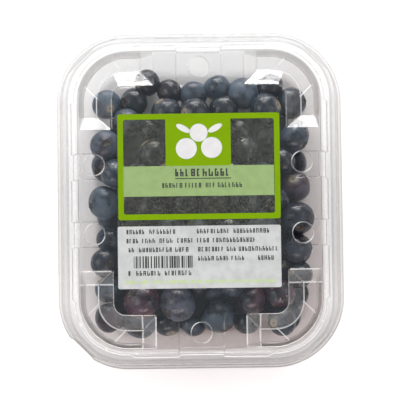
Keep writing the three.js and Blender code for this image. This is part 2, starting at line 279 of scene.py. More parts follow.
# What sets some berries apart: where the crown points, how red they are, and how much bloom they have
FIRST_HIGH = len(LOW_SHOWN_BERRIES)
NOTED_BERRIES = {
    0: ((-0.4, 0.5, -1.0), 0.0, 1.2),
    FIRST_HIGH + 0: ((0.1, 0.1, 1.0), 0.25, 0.95),
    FIRST_HIGH + 1: ((-0.6, 0.5, 0.5), 0.0, 0.75),
    FIRST_HIGH + 2: ((-0.7, -0.2, 0.4), 0.0, 0.85),
    FIRST_HIGH + 3: ((0.3, 0.8, -0.2), 0.1, 0.7),
    FIRST_HIGH + 6: ((-0.6, -0.2, 0.7), 0.5, 0.2),
    FIRST_HIGH + 9: ((0.2, -0.5, -0.84), 0.75, 0.8),
    FIRST_HIGH + 15: ((-0.7, 0.6, 0.75), 0.9, 0.3),
    FIRST_HIGH + 16: ((-0.7, -0.6, 0.6), 0.35, 0.8),
    FIRST_HIGH + 17: ((0.5, -0.8, 0.2), 0.05, 0.75),
    FIRST_HIGH + 18: ((0.6, -0.7, 0.3), 0.8, 0.2),
    FIRST_HIGH + 19: ((0.4, -0.4, 0.9), 0.7, 0.2),
}

# One berry of radius 1: polar angles of its rings from the crown down, closer together round the crown
# and the stem's scar
CROWN_RINGS = (0, 5, 9, 12, 14.5, 17, 20, 24, 31)
ROUND_RINGS = (41, 53, 65, 77, 89, 101, 113, 125, 137, 149)
SCAR_RINGS = (160, 168, 174, 180)
BERRY_SIDES = 30
CROWN_LOBES = 5
CROWN_REGION = 0.62
CROWN_HOLLOW = 0.085
CROWN_RISE = 0.055
SCAR_REACH = 0.36
SCAR_DEPTH = 0.090

# The shapes that the berries take in turn: name, spread of the crown, how lumpy, and where the lumps fall
BERRY_SHAPES = (
    ("berry_open", 0.30, 0.05, 3.1),
    ("berry_star", 0.36, 0.07, 8.7),
    ("berry_shut", 0.22, 0.06, 14.2),
    ("berry_wide", 0.33, 0.09, 21.9),
)
TURN_BETWEEN_BERRIES = 2.4

# How red the other berries are, and how much bloom they have, by numbers between 0 and 1
REDDER_ABOVE = 0.5
REDNESS = 0.35
LEAST_BLOOM = 0.12
BLOOM_SPAN = 0.95
BLOOM_POWER = 1.6

# A berry's skin: how its rubbed patches, dust and blush lie and how strong they are, its grain and shine
RUBBED_PER_METRE = 190.0
RUBBED_SPAN = (0.30, 1.0)
DUST_PER_METRE = 900.0
DUST_SPAN = (0.88, 1.06)
BLUSH_PER_METRE = 120.0
BERRY_NOISE_ROUGHNESS = 0.6
REDDISH_BLOOM_SHARE = 0.6
GRAIN_PER_METRE = 500.0
GRAIN_HEIGHT = 0.0003
BARE_ROUGHNESS = 0.24
BLOOM_ROUGHNESS = 0.45
BERRY_SHINE = 0.42

# Colours of a berry that the user doesn't set
CROWN_BROWN = (0.030, 0.022, 0.018)
SCAR_BEIGE = (0.27, 0.23, 0.17)
REDDISH_BLOOM = (0.11, 0.07, 0.10)
# Painted shade on the heap core, standing for the berries deeper in the heap
HEAP_SHADE = (0.012, 0.014, 0.022)

# The heap deeper down, under the berries that show; its dark colour is painted shade
HEAP_CORE_HALF_WIDTH = 37.0
HEAP_CORE_FRONT = -47.0
HEAP_CORE_BACK = 35.0
HEAP_CORE_BOTTOM = 4.5
HEAP_CORE_TOP = 12.5
HEAP_TOP_LUMP = 1.6
HEAP_TOP_LUMPS_PER_METRE = 150
HEAP_FOOT_LUMP = 1.2
HEAP_FOOT_LUMPS_PER_METRE = 170

# The lines of text: where each word starts and ends, the line's middle, the height of its letters, a seed
TITLE_LINE = ([(-9.8, 12.5)], 10.7, 3.0, 91)
SECOND_LINE = ([(-15.0, -6.9), (-5.9, 1.4), (2.4, 6.2), (7.2, 18.1)], 5.6, 1.9, 57)
PANEL_LINES = [
    ([(-29.5, -21.7), (-20.4, -9.6), (-1.4, 12.2), (13.2, 28.0)], -12.8, 1.8, 11),
    (
        [(-29.5, -24.3), (-23.3, -17.2), (-16.4, -10.2), (-9.3, -2.2), (-1.4, 3.8), (4.9, 22.9)],
        -16.4,
        1.8,
        12,
    ),
    (
        [(-28.7, -25.6), (-24.6, -11.2), (-10.2, -3.6), (-1.0, 9.4), (10.4, 14.2), (15.2, 31.6)],
        -20.0,
        1.8,
        13,
    ),
    ([(-1.0, 5.2), (6.2, 11.2), (12.2, 18.5), (22.9, 30.0)], -23.65, 1.8, 14),
]
UNDER_BAR_LINE = ([(-28.9, -27.5), (-25.8, -15.8), (-14.4, -3.4)], -29.3, 1.9, 73)
FOOT_LINE = ([(-30.5, -16.0), (-15.4, -2.0), (-1.4, 14.2), (14.8, 30.4)], -32.8, 1.3, 83)
TITLE_UNDERLINE = (-9.8, 12.5, 8.15, 8.5)

# A letter's strokes, as shares of its height, and how often a stroke is left out
STROKE_SHARE = 0.20
LETTER_WIDTH = 0.42
LETTER_WIDTH_SPAN = 0.16
LETTER_GAP = 0.24
SHORT_STROKE = 0.6
NO_SECOND_UPRIGHT = 0.3
NO_CROSS_STROKE = 0.4

# The run of bars
BAR_SEED = 4049
BAR_FIELD = (-26.7, -3.2, -27.3, -22.5)
BAR_MODULE = 0.25

# The label's sheet and its printed fields, as (left, right, bottom, top) from the middle of the pack
LABEL_FIELD = (-33.0, 32.1, -35.5, 34.4)
LABEL_CORNER = 1.0
WINDOW_FIELD = (-30.4, 29.9, -5.8, 32.1)
FRAME_BORDER = 2.25
FRAME_CORNER = 0.9
BLOCK_FIELD = (-13.5, 12.6, 13.4, 32.2)
BAND_FIELD = (-30.6, 29.7, 1.3, 13.4)
PANEL_FIELD = (-33.0, 32.1, -35.5, -10.6)
PANEL_CORNER = 0.8
PLATE_CORNER_STEPS = 6
LABEL_BOTTOM = 39.7
FILM_THICKNESS = 0.16
PRINT_THICKNESS = 0.03
PRINT_GRAIN_PER_METRE = 2500.0
PRINT_GRAIN_HEIGHT = 0.0002
MARK_WHITE = (0.56, 0.56, 0.56)
FAINT_GREEN = (0.42, 0.55, 0.22)

# The sign on the green block: berries as (x, y, radius), and the size, place and turn of its two leaves
SIGN_BERRIES = ((-5.2, 20.3, 4.2), (4.9, 20.6, 4.2), (-0.2, 26.6, 3.6))
LEAF_HALF_SIZE = (3.1, 1.2)
LEAF_PLACE = (6.4, 28.4)
LEAF_TURN = 0.5

# The studio's lamps: name, place, what they face, width, height, radiance and colour
STUDIO_BOXES = (
    ("back_panel", (0, 0.8, 0.13), (0, 0, 0.1), 0.7, 0.26, 14.0, (1, 1, 1)),
    ("back_window", (0.05, 0.72, 0.46), (0, 0, 0), 0.40, 0.14, 19.0, (1, 1, 1)),
    ("left_box", (-0.95, 0.1, 0.9), (0, 0, 0), 0.8, 0.8, 2.8, (1, 1, 1)),
    ("right_box", (0.95, 0.1, 0.9), (0, 0, 0), 0.8, 0.8, 1.2, (1, 1, 1)),
    ("front_strip", (0, -0.9, 0.62), (0, 0, 0), 1.0, 0.10, 9.0, (1.0, 0.82, 0.78)),
    ("front_card", (0, -0.40, 0.24), (0, -0.03, 0), 0.5, 0.12, 2.8, (1.0, 0.83, 0.80)),
)
FLOOR_PAINT = (0.95, 0.95, 0.95)
FLOOR_HALF_SIZE = 3.0
FLOOR_GAP = 0.0002


# Edges sharper than this, in degrees, stay sharp
SHEET_SHARP_ABOVE = 50
BERRY_SHARP_ABOVE = 60
PRINT_SHARP_ABOVE = 30


def metres(x, y, z):
    """A point given in millimetres."""
    return Vector((x * MM, y * MM, z * MM))


# Sizes and colours that a user may change


def colour_setting(name, description, default):
    """A colour that a user may change."""
    return bpy.props.FloatVectorProperty(
        name=name, description=description, default=default, subtype="COLOR", min=0.0, max=1.0
    )


class PackSettings(bpy.types.PropertyGroup):
    """Sizes and looks of the clear tray and lid."""

    sheet: bpy.props.FloatProperty(
        name="Sheet",
        description="Thickness of the clear plastic sheet",
        default=0.00035,
        min=0.0002,
        max=0.0008,
        unit="LENGTH",
        precision=5,
    )
    tint: colour_setting(
        "Tint",
        "Colour of light that has passed straight through one face of the sheet",
        (0.984, 0.984, 0.985),
    )
    edge_tint: colour_setting(
        "Edge tint",
        "Colour of light that passes along the sheet, where it is seen edge on",
        (0.960, 0.960, 0.960),
    )
    gloss_roughness: bpy.props.FloatProperty(
        name="Gloss roughness",
        description="Roughness of the sheet's shine",
        default=0.03,
        subtype="FACTOR",
        min=0.0,
        max=1.0,
    )


class BerrySettings(bpy.types.PropertyGroup):
    """Colours of the berries."""

    skin: colour_setting("Skin", "Bare blue-black skin", (0.003, 0.005, 0.009))
    bloom: colour_setting("Bloom", "Pale waxy bloom over the skin", (0.062, 0.092, 0.128))
    reddish: colour_setting("Reddish skin", "Skin of the berries that are less ripe", (0.055, 0.010, 0.018))


class LabelSettings(bpy.types.PropertyGroup):
    """Colours of the label."""

    green: colour_setting("Green", "Bright green of the frame and the block", (0.150, 0.272, 0.001))
    pale_green: colour_setting("Pale green", "Pale green of the title band", (0.228, 0.326, 0.136))
    panel: colour_setting("Panel", "White of the lower panel", (0.445, 0.462, 0.458))
    ink: colour_setting("Ink", "Dark thermal print", (0.030, 0.032, 0.030))


class StageSettings(bpy.types.PropertyGroup):
    """The camera and the light."""

    distance: bpy.props.FloatProperty(
        name="Camera distance",
        description="From the camera to the rim of the pack",
        default=0.70,
        unit="LENGTH",
        min=0.3,
        max=3.0,
    )
    lean: bpy.props.FloatProperty(
        name="Camera lean",
        description="How far the camera leans from straight above towards the front",
        default=math.radians(2.4),
        subtype="ANGLE",
    )
    roll: bpy.props.FloatProperty(
        name="Camera roll",
        description="Turn of the camera about its own line of sight",
        default=math.radians(-0.75),
        subtype="ANGLE",
    )
    view_width: bpy.props.FloatProperty(
        name="View width",
        description="Width that the camera takes in at the rim of the pack",
        default=0.1616,
        unit="LENGTH",
        min=0.05,
        max=1.0,
    )
    sky: bpy.props.FloatProperty(
        name="Sky",
        description="Brightness of the even light from all round",
        default=0.77,
        min=0.0,
        max=3.0,
    )


# Runs of numbers, curves and rings


def numbers_from(seed):
    """A repeatable run of numbers between 0 and 1."""
    state = seed
    while True:
        state = (state * 16807) % 2147483647
        yield state / 2147483647


def toward(origin, goal, distance):
    """The point that far from origin on the way to goal, and less than half of the way."""
    way = goal - origin
    if way.length < 1e-6:
        return origin.copy()
    return origin + way * min(0.45, distance / way.length)


def eased(points):
    """A run of straight pieces with its inner corners eased; each point is (place, value, cut)."""
    curve = [points[0][:2]]
    for before, corner, after in zip(points, points[1:], points[2:]):
        middle = Vector(corner[:2])
        start = toward(middle, Vector(before[:2]), corner[2])
        end = toward(middle, Vector(after[:2]), corner[2])
        for step in range(EASE_STEPS + 1):
            share = step / EASE_STEPS
            curve.append(tuple(start.lerp(middle, share).lerp(middle.lerp(end, share), share)))
    curve.append(points[-1][:2])
    return curve


def value_at(curve, place):
    """The height of an eased run at one place along it."""
    if place <= curve[0][0]:
        return curve[0][1]
    for (before, low), (after, high) in zip(curve, curve[1:]):
        if place <= after:
            return low + (high - low) * (place - before) / max(after - before, 1e-9)
    return curve[-1][1]


def risen_from(place, end, ease):
    """A run that is 0 before a place, rises over it, and is 1 from there to the end."""
    return eased([(0, 0, 0), (place[0], 0, ease), (place[1], 1, ease), (end, 1, 0)])


def notch_run(edges, end):
    """A run that is 1 within a notch and 0 elsewhere; two edges make a notch in the middle."""
    run = [(0, 0 if len(edges) > 2 else 1, 0)]
    values = (0, 1, 1, 0)[-len(edges) :]
    run += [(edge, value, NOTCH_EASE) for edge, value in zip(edges, values)]
    return eased(run + [(end, 0, 0)])


# How pocket, notch and inset come and go along the long sides and the ends, by distance from the middle
SIDE_CURVES = (
    risen_from(SIDE_ARM, CORE_Y, RAMP_EASE),
    notch_run(SIDE_NOTCH_EDGES, CORE_Y),
    risen_from(SIDE_INSET_FROM, CORE_Y, RAMP_EASE),
)
END_CURVES = (
    risen_from(END_ARM, CORE_X, RAMP_EASE),
    notch_run(END_NOTCH_EDGES, CORE_X),
    risen_from(END_INSET_FROM, CORE_X, RAMP_EASE),
)


def place_round(point):
    """The nearest point of the core oblong, in millimetres, and the way straight out from it."""
    x = point.x / MM
    y = point.y / MM
    core = Vector((max(-CORE_X, min(CORE_X, x)), max(-CORE_Y, min(CORE_Y, y))))
    return core, (Vector((x, y)) - core).normalized()


def forms_at(core, out):
    """How far pocket, notch, inset and corner have come in at one place, and the angle in a corner."""
    angle = math.degrees(math.atan2(abs(out.y), abs(out.x)))
    if 0.5 <= angle <= 89.5:
        return 1.0, 0.0, 1.0, math.sin(2 * math.radians(angle)), angle
    curves, along = (SIDE_CURVES, abs(core.y)) if angle < 0.5 else (END_CURVES, abs(core.x))
    pocket, notch, inset = (value_at(curve, along) for curve in curves)
    return pocket, notch, inset, 0.0, None


def straight_across(reach, chord, angle):
    """A line's reach, cut straight across the middle of a corner."""
    if angle is None:
        return reach
    return min(reach, chord / math.cos(math.radians(angle - 45)))


def side_flare(out):
    """How much further the skirt stands out at the long sides than at the ends."""
    return SIDE_FLARE * abs(out.x)


def skirt_foot(core, out, reach, chord, corner, angle):
    """The reach of a skirt's foot: a little flat over the corners, and straight at the pull tab."""
    in_tab = angle is not None and TAB_FROM < angle < TAB_TO and core.x < 0 and core.y < 0
    if in_tab:
        return chord / math.cos(math.radians(angle - 45))
    return reach - CORNER_FLATNESS * corner + side_flare(out)


def lid_section(core, out):
    """The lid's section at one place, from the skirt's foot to the middle, as (reach, height) points."""
    pocket, notch, inset, corner, angle = forms_at(core, out)
    foot = skirt_foot(core, out, SKIRT_REACH, TAB_CHORD, corner, angle)
    shoulder = SHOULDER_REACH + SHOULDER_FLARE_SHARE * side_flare(out)
    shoulder = straight_across(shoulder, SHOULDER_CHORD, angle)
    wall_foot = WALL_FOOT_REACH - WALL_CORNER_INSET * inset
    top_inset = PLATEAU_CORNER_INSET * corner
    wall_top = WALL_TOP_REACH - top_inset
    lean = (wall_foot - wall_top) / (LID_TOP - RIM_TOP)
    wall_foot -= NOTCH_DEPTH * notch
    ledge = wall_foot - lean * (NOTCH_FOOT - RIM_TOP)
    top = LID_TOP - RECESS_DEPTH * notch
    floor = top - POCKET_DEPTH * pocket
    outer_top = POCKET_OUTER_TOP - top_inset
    kept = POCKET_WALL_KEPT
    outer_floor = outer_top - kept - (POCKET_OUTER_TOP - POCKET_OUTER_FLOOR - kept) * pocket
    inner_floor = POCKET_INNER_TOP + kept + (POCKET_INNER_FLOOR - POCKET_INNER_TOP - kept) * pocket
    inner_floor += RECESS_SLOPE * notch
    return eased(
        [
            (foot, SKIRT_FOOT, 0),
            (foot - LIP, SKIRT_FOOT + LIP_RISE, 0.15),
            (shoulder, RIM_TOP, 0.35),
            (wall_foot, RIM_TOP, 0.4),
            (ledge, NOTCH_FOOT, 0.15),
            (ledge - 0.1, NOTCH_FOOT + 0.3, 0.15),
            (wall_top - NOTCH_DEPTH * notch, top, 0.3),
            (outer_top - 0.3 * notch, top, 0.3),
            (outer_floor - 0.2 * notch, floor, 0.4),
            (inner_floor, floor, 0.35),
            (POCKET_INNER_TOP, LID_TOP, 0.35),
            (PLATEAU_REACH, LID_TOP, 0),
        ]
    )


def tray_section(core, out):
    """The tray's outer face at one place, from the rim's skirt to the base, as (reach, height) points."""
    corner, angle = forms_at(core, out)[3:]
    foot = skirt_foot(core, out, TRAY_SKIRT_REACH, TRAY_TAB_CHORD, corner, angle)
    shoulder = straight_across(TRAY_SHOULDER_REACH, TRAY_SHOULDER_CHORD, angle)
    return eased(
        [
            (foot, TRAY_SKIRT_FOOT, 0),
            (shoulder, TRAY_RIM_UNDERSIDE, 0.5),
            (TRAY_WALL_TOP_REACH, TRAY_RIM_UNDERSIDE, 0.6),
            (TRAY_WALL_FOOT_REACH, TRAY_FOOT_CURVE, 1.2),
            (TRAY_BASE_REACH, 0, 1.0),
            (TRAY_PANEL_FROM, 0, 0.4),
            (TRAY_PANEL_REACH, TRAY_PANEL_RISE, 0.4),
            (TRAY_MIDDLE_REACH, TRAY_PANEL_RISE, 0),
        ]
    )


def front_share(out):
    """How far a place round the pack faces the front, from 0 to 1."""
    return max(0.0, min(1.0, (0.15 - out.y) / 0.75))


def lid_marks(core, out, step):
    """The painted shade and the painted white glint of the sheet between two rings, each from 0 to 1."""
    pocket, notch = forms_at(core, out)[:2]
    run, part = divmod(step - 1, EASE_STEPS + 1)
    if run >= len(LID_FOLDS):
        return 0.0, 0.0
    dark_back, white_back, dark_front, white_front, form = (LID_FOLDS if part else LID_RUNS)[run]
    share = {"all": 1.0, "notch": notch, "pocket": pocket}[form]
    front = front_share(out)
    dark = share * (dark_back + (dark_front - dark_back) * front)
    white = share * (white_back + (white_front - white_back) * front)
    if part:
        return (0.0, white) if part == 1 and white > 0 else (dark, 0.0)
    # Painted shade on the notch edges; on the pocket creases painted shade at the back and painted glints
    # at the front, with a fainter painted glint on the front ramps
    if run > 3:
        dark = max(dark, NOTCH_EDGE_PAINTED_SHADE * 4 * notch * (1 - notch))
    if run > 5 and 0 < pocket < 1:
        crease = pocket < 0.06 or pocket > 0.94
        at_front = core.y < 0
        dark = max(dark, CREASE_PAINTED_SHADE if crease and not at_front else 0.0)
        white = max(white, (CREASE_PAINTED_GLINT if crease else RAMP_PAINTED_GLINT) if at_front else 0.0)
    return dark, white


def tray_marks(_core, out, step):
    """The painted shade for the tray, where only the rim shows: its skirt, its fold and its flange; it has
    no painted glint.
    """
    front = front_share(out)
    if step > 2 + EASE_STEPS:
        return 0.0, 0.0
    if 1 < step < 2 + EASE_STEPS:
        return TRAY_FOLD_PAINTED_SHADE, 0.0
    back_dark, front_dark = TRAY_SKIRT_PAINTED_SHADE if step == 1 else TRAY_FLANGE_PAINTED_SHADE
    return back_dark + (front_dark - back_dark) * front, 0.0


def round_corners(shape, parts, radius, steps, affect):
    """Rounds upright edges, or the corners of a flat face."""
    bmesh.ops.bevel(
        shape,
        geom=parts,
        offset=radius * MM,
        offset_type="OFFSET",
        segments=steps,
        profile=0.5,
        affect=affect,
        material=-1,
    )


def ring_round_pack(shape, reach):
    """A closed ring of edges round the pack, with a corner wherever a form changes."""
    bmesh.ops.create_grid(shape, x_segments=1, y_segments=1, size=1.0)
    half = ((CORE_X + reach) * MM, (CORE_Y + reach) * MM, 1)
    bmesh.ops.scale(shape, vec=half, verts=shape.verts)
    round_corners(shape, shape.verts[:], reach, CORNER_STEPS, "VERTICES")
    bmesh.ops.delete(shape, geom=shape.faces[:], context="FACES_ONLY")
    for curves, way, limit in ((SIDE_CURVES, (0, 1, 0), CORE_Y), (END_CURVES, (1, 0, 0), CORE_X)):
        places = {round(place, 3) for curve in curves for place, _ in curve if place < limit - 0.05}
        for place in sorted(places):
            for side in (-1, 1) if place else (1,):
                bmesh.ops.bisect_plane(
                    shape,
                    geom=shape.verts[:] + shape.edges[:],
                    dist=1e-7,
                    plane_co=Vector(way) * place * side * MM,
                    plane_no=way,
                )
    return shape.edges[:]


def lofted_sheet(section, marks, reach):
    """An open sheet whose rings follow a section that changes round the pack, closed in the middle."""
    shape = bmesh.new()
    station = shape.verts.layers.int.new("station")
    # Each face gets its painted shade and its painted white glint from the marks
    fold = shape.faces.layers.float.new("fold")
    white = shape.faces.layers.float.new("white")
    edges = ring_round_pack(shape, reach)
    sections = []
    for index, corner in enumerate(shape.verts):
        corner[station] = index
        core, out = place_round(corner.co)
        sections.append((core, out, section(core, out)))
    ring = shape.verts[:]
    for step in range(len(sections[0][2])):
        if step:
            made = bmesh.ops.extrude_edge_only(shape, edges=edges)["geom"]
            edges = [part for part in made if isinstance(part, bmesh.types.BMEdge)]
            ring = [part for part in made if isinstance(part, bmesh.types.BMVert)]
        for corner in ring:
            core, out, points = sections[corner[station]]
            reach_here, height = points[step]
            corner.co = metres(core.x + out.x * reach_here, core.y + out.y * reach_here, height)
        if step:
            for face in (part for part in made if isinstance(part, bmesh.types.BMFace)):
                core, out = place_round(face.calc_center_median())
                face[fold], face[white] = marks(core, out, step)
    bmesh.ops.edgeloop_fill(shape, edges=edges)
    bmesh.ops.recalc_face_normals(shape, faces=shape.faces)
    return shape


def face_way(shape, up):
    """Turns the whole sheet so that its middle faces up or down."""
    middle = max(shape.faces, key=lambda face: face.calc_area())
    if (middle.normal.z > 0) != up:
        bmesh.ops.reverse_faces(shape, faces=shape.faces)


def piece_from(shape, name, material, smooth_below=None):
    """A new object from a finished bmesh, with one material."""
    mesh = bpy.data.meshes.new(name)
    shape.to_mesh(mesh)
    shape.free()
    mesh.materials.append(material)
    piece = bpy.data.objects.new(name, mesh)
    bpy.context.scene.collection.objects.link(piece)
    if smooth_below is not None:
        smooth_piece(mesh, smooth_below)
    return piece


def smooth_piece(mesh, smooth_below):
    """Smooth shading, but for edges sharper than the angle."""
    mesh.polygons.foreach_set("use_smooth", [True] * len(mesh.polygons))
    mesh.set_sharp_from_angle(angle=math.radians(smooth_below))
    mesh.update()


def settle_modifiers(piece):
    """Turns the piece's modifiers into its mesh."""
    graph = bpy.context.evaluated_depsgraph_get()
    mesh = bpy.data.meshes.new_from_object(piece.evaluated_get(graph))
    piece.modifiers.clear()
    old = piece.data
    piece.data = mesh
    mesh.name = piece.name
    bpy.data.meshes.remove(old)


# Material building


def colour4(colour):
    """A colour with full alpha."""
    return (colour[0], colour[1], colour[2], 1.0)


def give(tree, value, socket):
    """Sets a socket to a number or a colour, or links it to another node's socket."""
    if isinstance(value, (int, float)):
        socket.default_value = value
    elif isinstance(value, tuple):
        socket.default_value = colour4(value)
    else:
        tree.links.new(value, socket)


def add_node(tree, kind, inputs=None, **settings):
    """One shader node with its settings and what goes into its sockets."""
    made = tree.nodes.new(kind)
    for name, value in settings.items():
        setattr(made, name, value)
    for name, value in (inputs or {}).items():
        give(tree, value, made.inputs[name])
    return made


def attribute_value(tree, name):
    """One of the numbers that a mesh holds for its corners or faces."""
    return add_node(tree, "ShaderNodeAttribute", attribute_name=name).outputs["Fac"]


def mix_shaders(tree, factor, first, second):
    """Two shader nodes mixed by a socket."""
    made = add_node(tree, "ShaderNodeMixShader")
    tree.links.new(factor, made.inputs[0])
    tree.links.new(first.outputs[0], made.inputs[1])
    tree.links.new(second.outputs[0], made.inputs[2])
    return made


def put_out(tree, shader):
    """Makes a shader node the surface of the material."""
    output = add_node(tree, "ShaderNodeOutputMaterial")
    tree.links.new(shader.outputs[0], output.inputs["Surface"])


def new_material(name):
    """An empty node material."""
    material = bpy.data.materials.new(name)
    material.use_nodes = True
    material.node_tree.nodes.clear()
    return material, material.node_tree


def noise_node(tree, coordinates, scale, detail=2.0, roughness=0.5):
    """Noise over the object's own coordinates; scale is repeats in a metre."""
    inputs = {"Vector": coordinates, "Scale": scale, "Detail": detail, "Roughness": roughness}
    return add_node(tree, "ShaderNodeTexNoise", inputs).outputs["Fac"]


def range_node(tree, value, low, high, to_low=0.0, to_high=1.0):
    """A smooth step between two values."""
    inputs = {"Value": value, "From Min": low, "From Max": high, "To Min": to_low, "To Max": to_high}
    return add_node(tree, "ShaderNodeMapRange", inputs, interpolation_type="SMOOTHSTEP").outputs["Result"]


def math_node(tree, operation, first, second=None, third=None):
    """One sum; each value is a number or a socket."""
    made = add_node(tree, "ShaderNodeMath", operation=operation)
    for index, value in enumerate((first, second, third)):
        if value is not None:
            give(tree, value, made.inputs[index])
    return made.outputs[0]


def mix_colour(tree, factor, first, second, blend="MIX"):
    """Two colours mixed; each is a colour or a socket."""
    made = add_node(tree, "ShaderNodeMix", data_type="RGBA", blend_type=blend)
    for index, value in ((0, factor), (6, first), (7, second)):
        give(tree, value, made.inputs[index])
    return made.outputs[2]


def effect_group(name, numbers, result, kind):
    """An empty shader group that takes coordinates and some numbers, and gives one result."""
    group = bpy.data.node_groups.new(name, "ShaderNodeTree")
    group.interface.new_socket("Coordinates", in_out="INPUT", socket_type="NodeSocketVector")
    for number in numbers:
        group.interface.new_socket(number, in_out="INPUT", socket_type="NodeSocketFloat")
    group.interface.new_socket(result, in_out="OUTPUT", socket_type=kind)
    given = group.nodes.new("NodeGroupInput").outputs
    wanted = group.nodes.new("NodeGroupOutput").inputs
    return group, given, wanted


def patches_group():
    """Noise that steps softly from least to most; its scale is repeats in a metre."""
    group = bpy.data.node_groups.get("patches")
    if group:
        return group
    numbers = ("Scale", "Detail", "Roughness", "From", "To", "Least", "Most")
    group, given, wanted = effect_group("patches", numbers, "Mask", "NodeSocketFloat")
    cloud = noise_node(group, given["Coordinates"], given["Scale"], given["Detail"], given["Roughness"])
    mask = range_node(group, cloud, given["From"], given["To"], given["Least"], given["Most"])
    group.links.new(mask, wanted["Mask"])
    return group


def relief_group():
    """A bumpy surface from noise, with another height added to it."""
    group = bpy.data.node_groups.get("relief")
    if group:
        return group
    numbers = ("Scale", "Detail", "Added", "Strength", "Distance")
    group, given, wanted = effect_group("relief", numbers, "Normal", "NodeSocketVector")
    cloud = noise_node(group, given["Coordinates"], given["Scale"], given["Detail"])
    height = math_node(group, "ADD", cloud, given["Added"])
    inputs = {"Height": height, "Strength": given["Strength"], "Distance": given["Distance"]}
    bump = add_node(group, "ShaderNodeBump", inputs)
    group.links.new(bump.outputs["Normal"], wanted["Normal"])
    return group


def patches(tree, coordinates, scale, detail, step, span=(0.0, 1.0), roughness=0.5):
    """The patches group placed in a material: step is where the noise turns, span what it turns to."""
    inputs = {
        "Coordinates": coordinates,
        "Scale": scale,
        "Detail": detail,
        "Roughness": roughness,
        "From": step[0],
        "To": step[1],
        "Least": span[0],
        "Most": span[1],
    }
    return add_node(tree, "ShaderNodeGroup", inputs, node_tree=patches_group()).outputs["Mask"]


def relief(tree, coordinates, scale, detail, strength, distance, added=0.0):
    """The relief group placed in a material."""
    inputs = {
        "Coordinates": coordinates,
        "Scale": scale,
        "Detail": detail,
        "Added": added,
        "Strength": strength,
        "Distance": distance,
    }
    return add_node(tree, "ShaderNodeGroup", inputs, node_tree=relief_group()).outputs["Normal"]


def painted_shade_below_rim(tree, coordinates, plain):
    """Painted shade on the tray below its rim, darker towards the front right."""
    place = add_node(tree, "ShaderNodeSeparateXYZ")
    tree.links.new(coordinates, place.inputs[0])
    across = math_node(tree, "SUBTRACT", place.outputs["X"], place.outputs["Y"])
    deep = range_node(tree, across, *BELOW_RIM_SHADE_ACROSS)
    below_rim_shade = mix_colour(tree, deep, BELOW_RIM_SHADE_TINT, DEEP_BELOW_RIM_SHADE_TINT)
    low = range_node(tree, place.outputs["Z"], *BELOW_RIM_SHADE_TO_CLEAR, 1.0, 0.0)
    return mix_colour(tree, low, plain, below_rim_shade)


def clear_sheet_material(name, tint, edge_tint, roughness, look, below_rim_shade=False):
    """A clear sheet: light passes straight through, less so edge on, with a thin haze and a gloss; painted
    shade and painted white glints lie where the mesh marks them, and the tray has painted shade below its
    rim.
    """
    material, tree = new_material(name)
    coordinates = add_node(tree, "ShaderNodeTexCoord").outputs["Object"]
    normal = relief(tree, coordinates, WAVES_PER_METRE, 2.0, look["waviness"], WAVE_HEIGHT)
    facing = add_node(tree, "ShaderNodeLayerWeight", {"Blend": 0.5})
    tree.links.new(normal, facing.inputs["Normal"])
    edge_on = range_node(tree, facing.outputs["Facing"], 0.25, 0.95)
    plain = mix_colour(tree, edge_on, tuple(tint), tuple(edge_tint))
    if below_rim_shade:
        plain = painted_shade_below_rim(tree, coordinates, plain)
    # Painted shade where the mesh marks it darkens the light that passes through
    fold = attribute_value(tree, "fold")
    through = mix_colour(tree, fold, plain, PAINTED_SHADE_TINT)
    clear = add_node(tree, "ShaderNodeBsdfTransparent", {"Color": through})
    inputs = {"Base Color": HAZE_AND_GLINT_WHITE, "Roughness": HAZE_AND_GLINT_ROUGHNESS, "Specular IOR Level": 0.0}
    haze_and_glint = add_node(tree, "ShaderNodeBsdfPrincipled", inputs)
    span = (look["haze"] * CLOUD_LEAST, look["haze"] * CLOUD_MOST)
    cloud = patches(tree, coordinates, CLOUDS_PER_METRE, 1.0, (0.42, 0.66), span)
    # The painted white glints that the mesh marks join the haze
    cloud = math_node(tree, "MULTIPLY_ADD", attribute_value(tree, "white"), PAINTED_GLINT_SHARE, cloud)
    body = mix_shaders(tree, cloud, clear, haze_and_glint)
    inputs = {"Base Color": (1.0, 1.0, 1.0), "Metallic": 1.0, "Roughness": roughness, "Normal": normal}
    shine = add_node(tree, "ShaderNodeBsdfPrincipled", inputs)
    steep = math_node(tree, "POWER", facing.outputs["Facing"], 5.0)
    mirror = math_node(tree, "MULTIPLY_ADD", steep, look["edge_mirrored"], look["mirrored"])
    # Painted shade also dims the gloss
    mirror = math_node(tree, "MULTIPLY", mirror, range_node(tree, fold, 0.0, 0.7, 1.0, 0.2))
    put_out(tree, mix_shaders(tree, mirror, body, shine))
    return material


def print_material(name, colour, roughness, mottle, mottle_scale, shine=0.35):
    """Ink, paint or shade: one colour, a little uneven."""
    material, tree = new_material(name)
    coordinates = add_node(tree, "ShaderNodeTexCoord").outputs["Object"]
    cloud = patches(tree, coordinates, mottle_scale, 3.0, (0.3, 0.7))
    darker = tuple(part * (1 - mottle) for part in colour)
    inputs = {
        "Base Color": mix_colour(tree, cloud, darker, tuple(colour)),
        "Roughness": roughness,
        "Specular IOR Level": shine,
        "Normal": relief(tree, coordinates, PRINT_GRAIN_PER_METRE, 1.0, 0.05, PRINT_GRAIN_HEIGHT),
    }
    put_out(tree, add_node(tree, "ShaderNodeBsdfPrincipled", inputs))
    return material


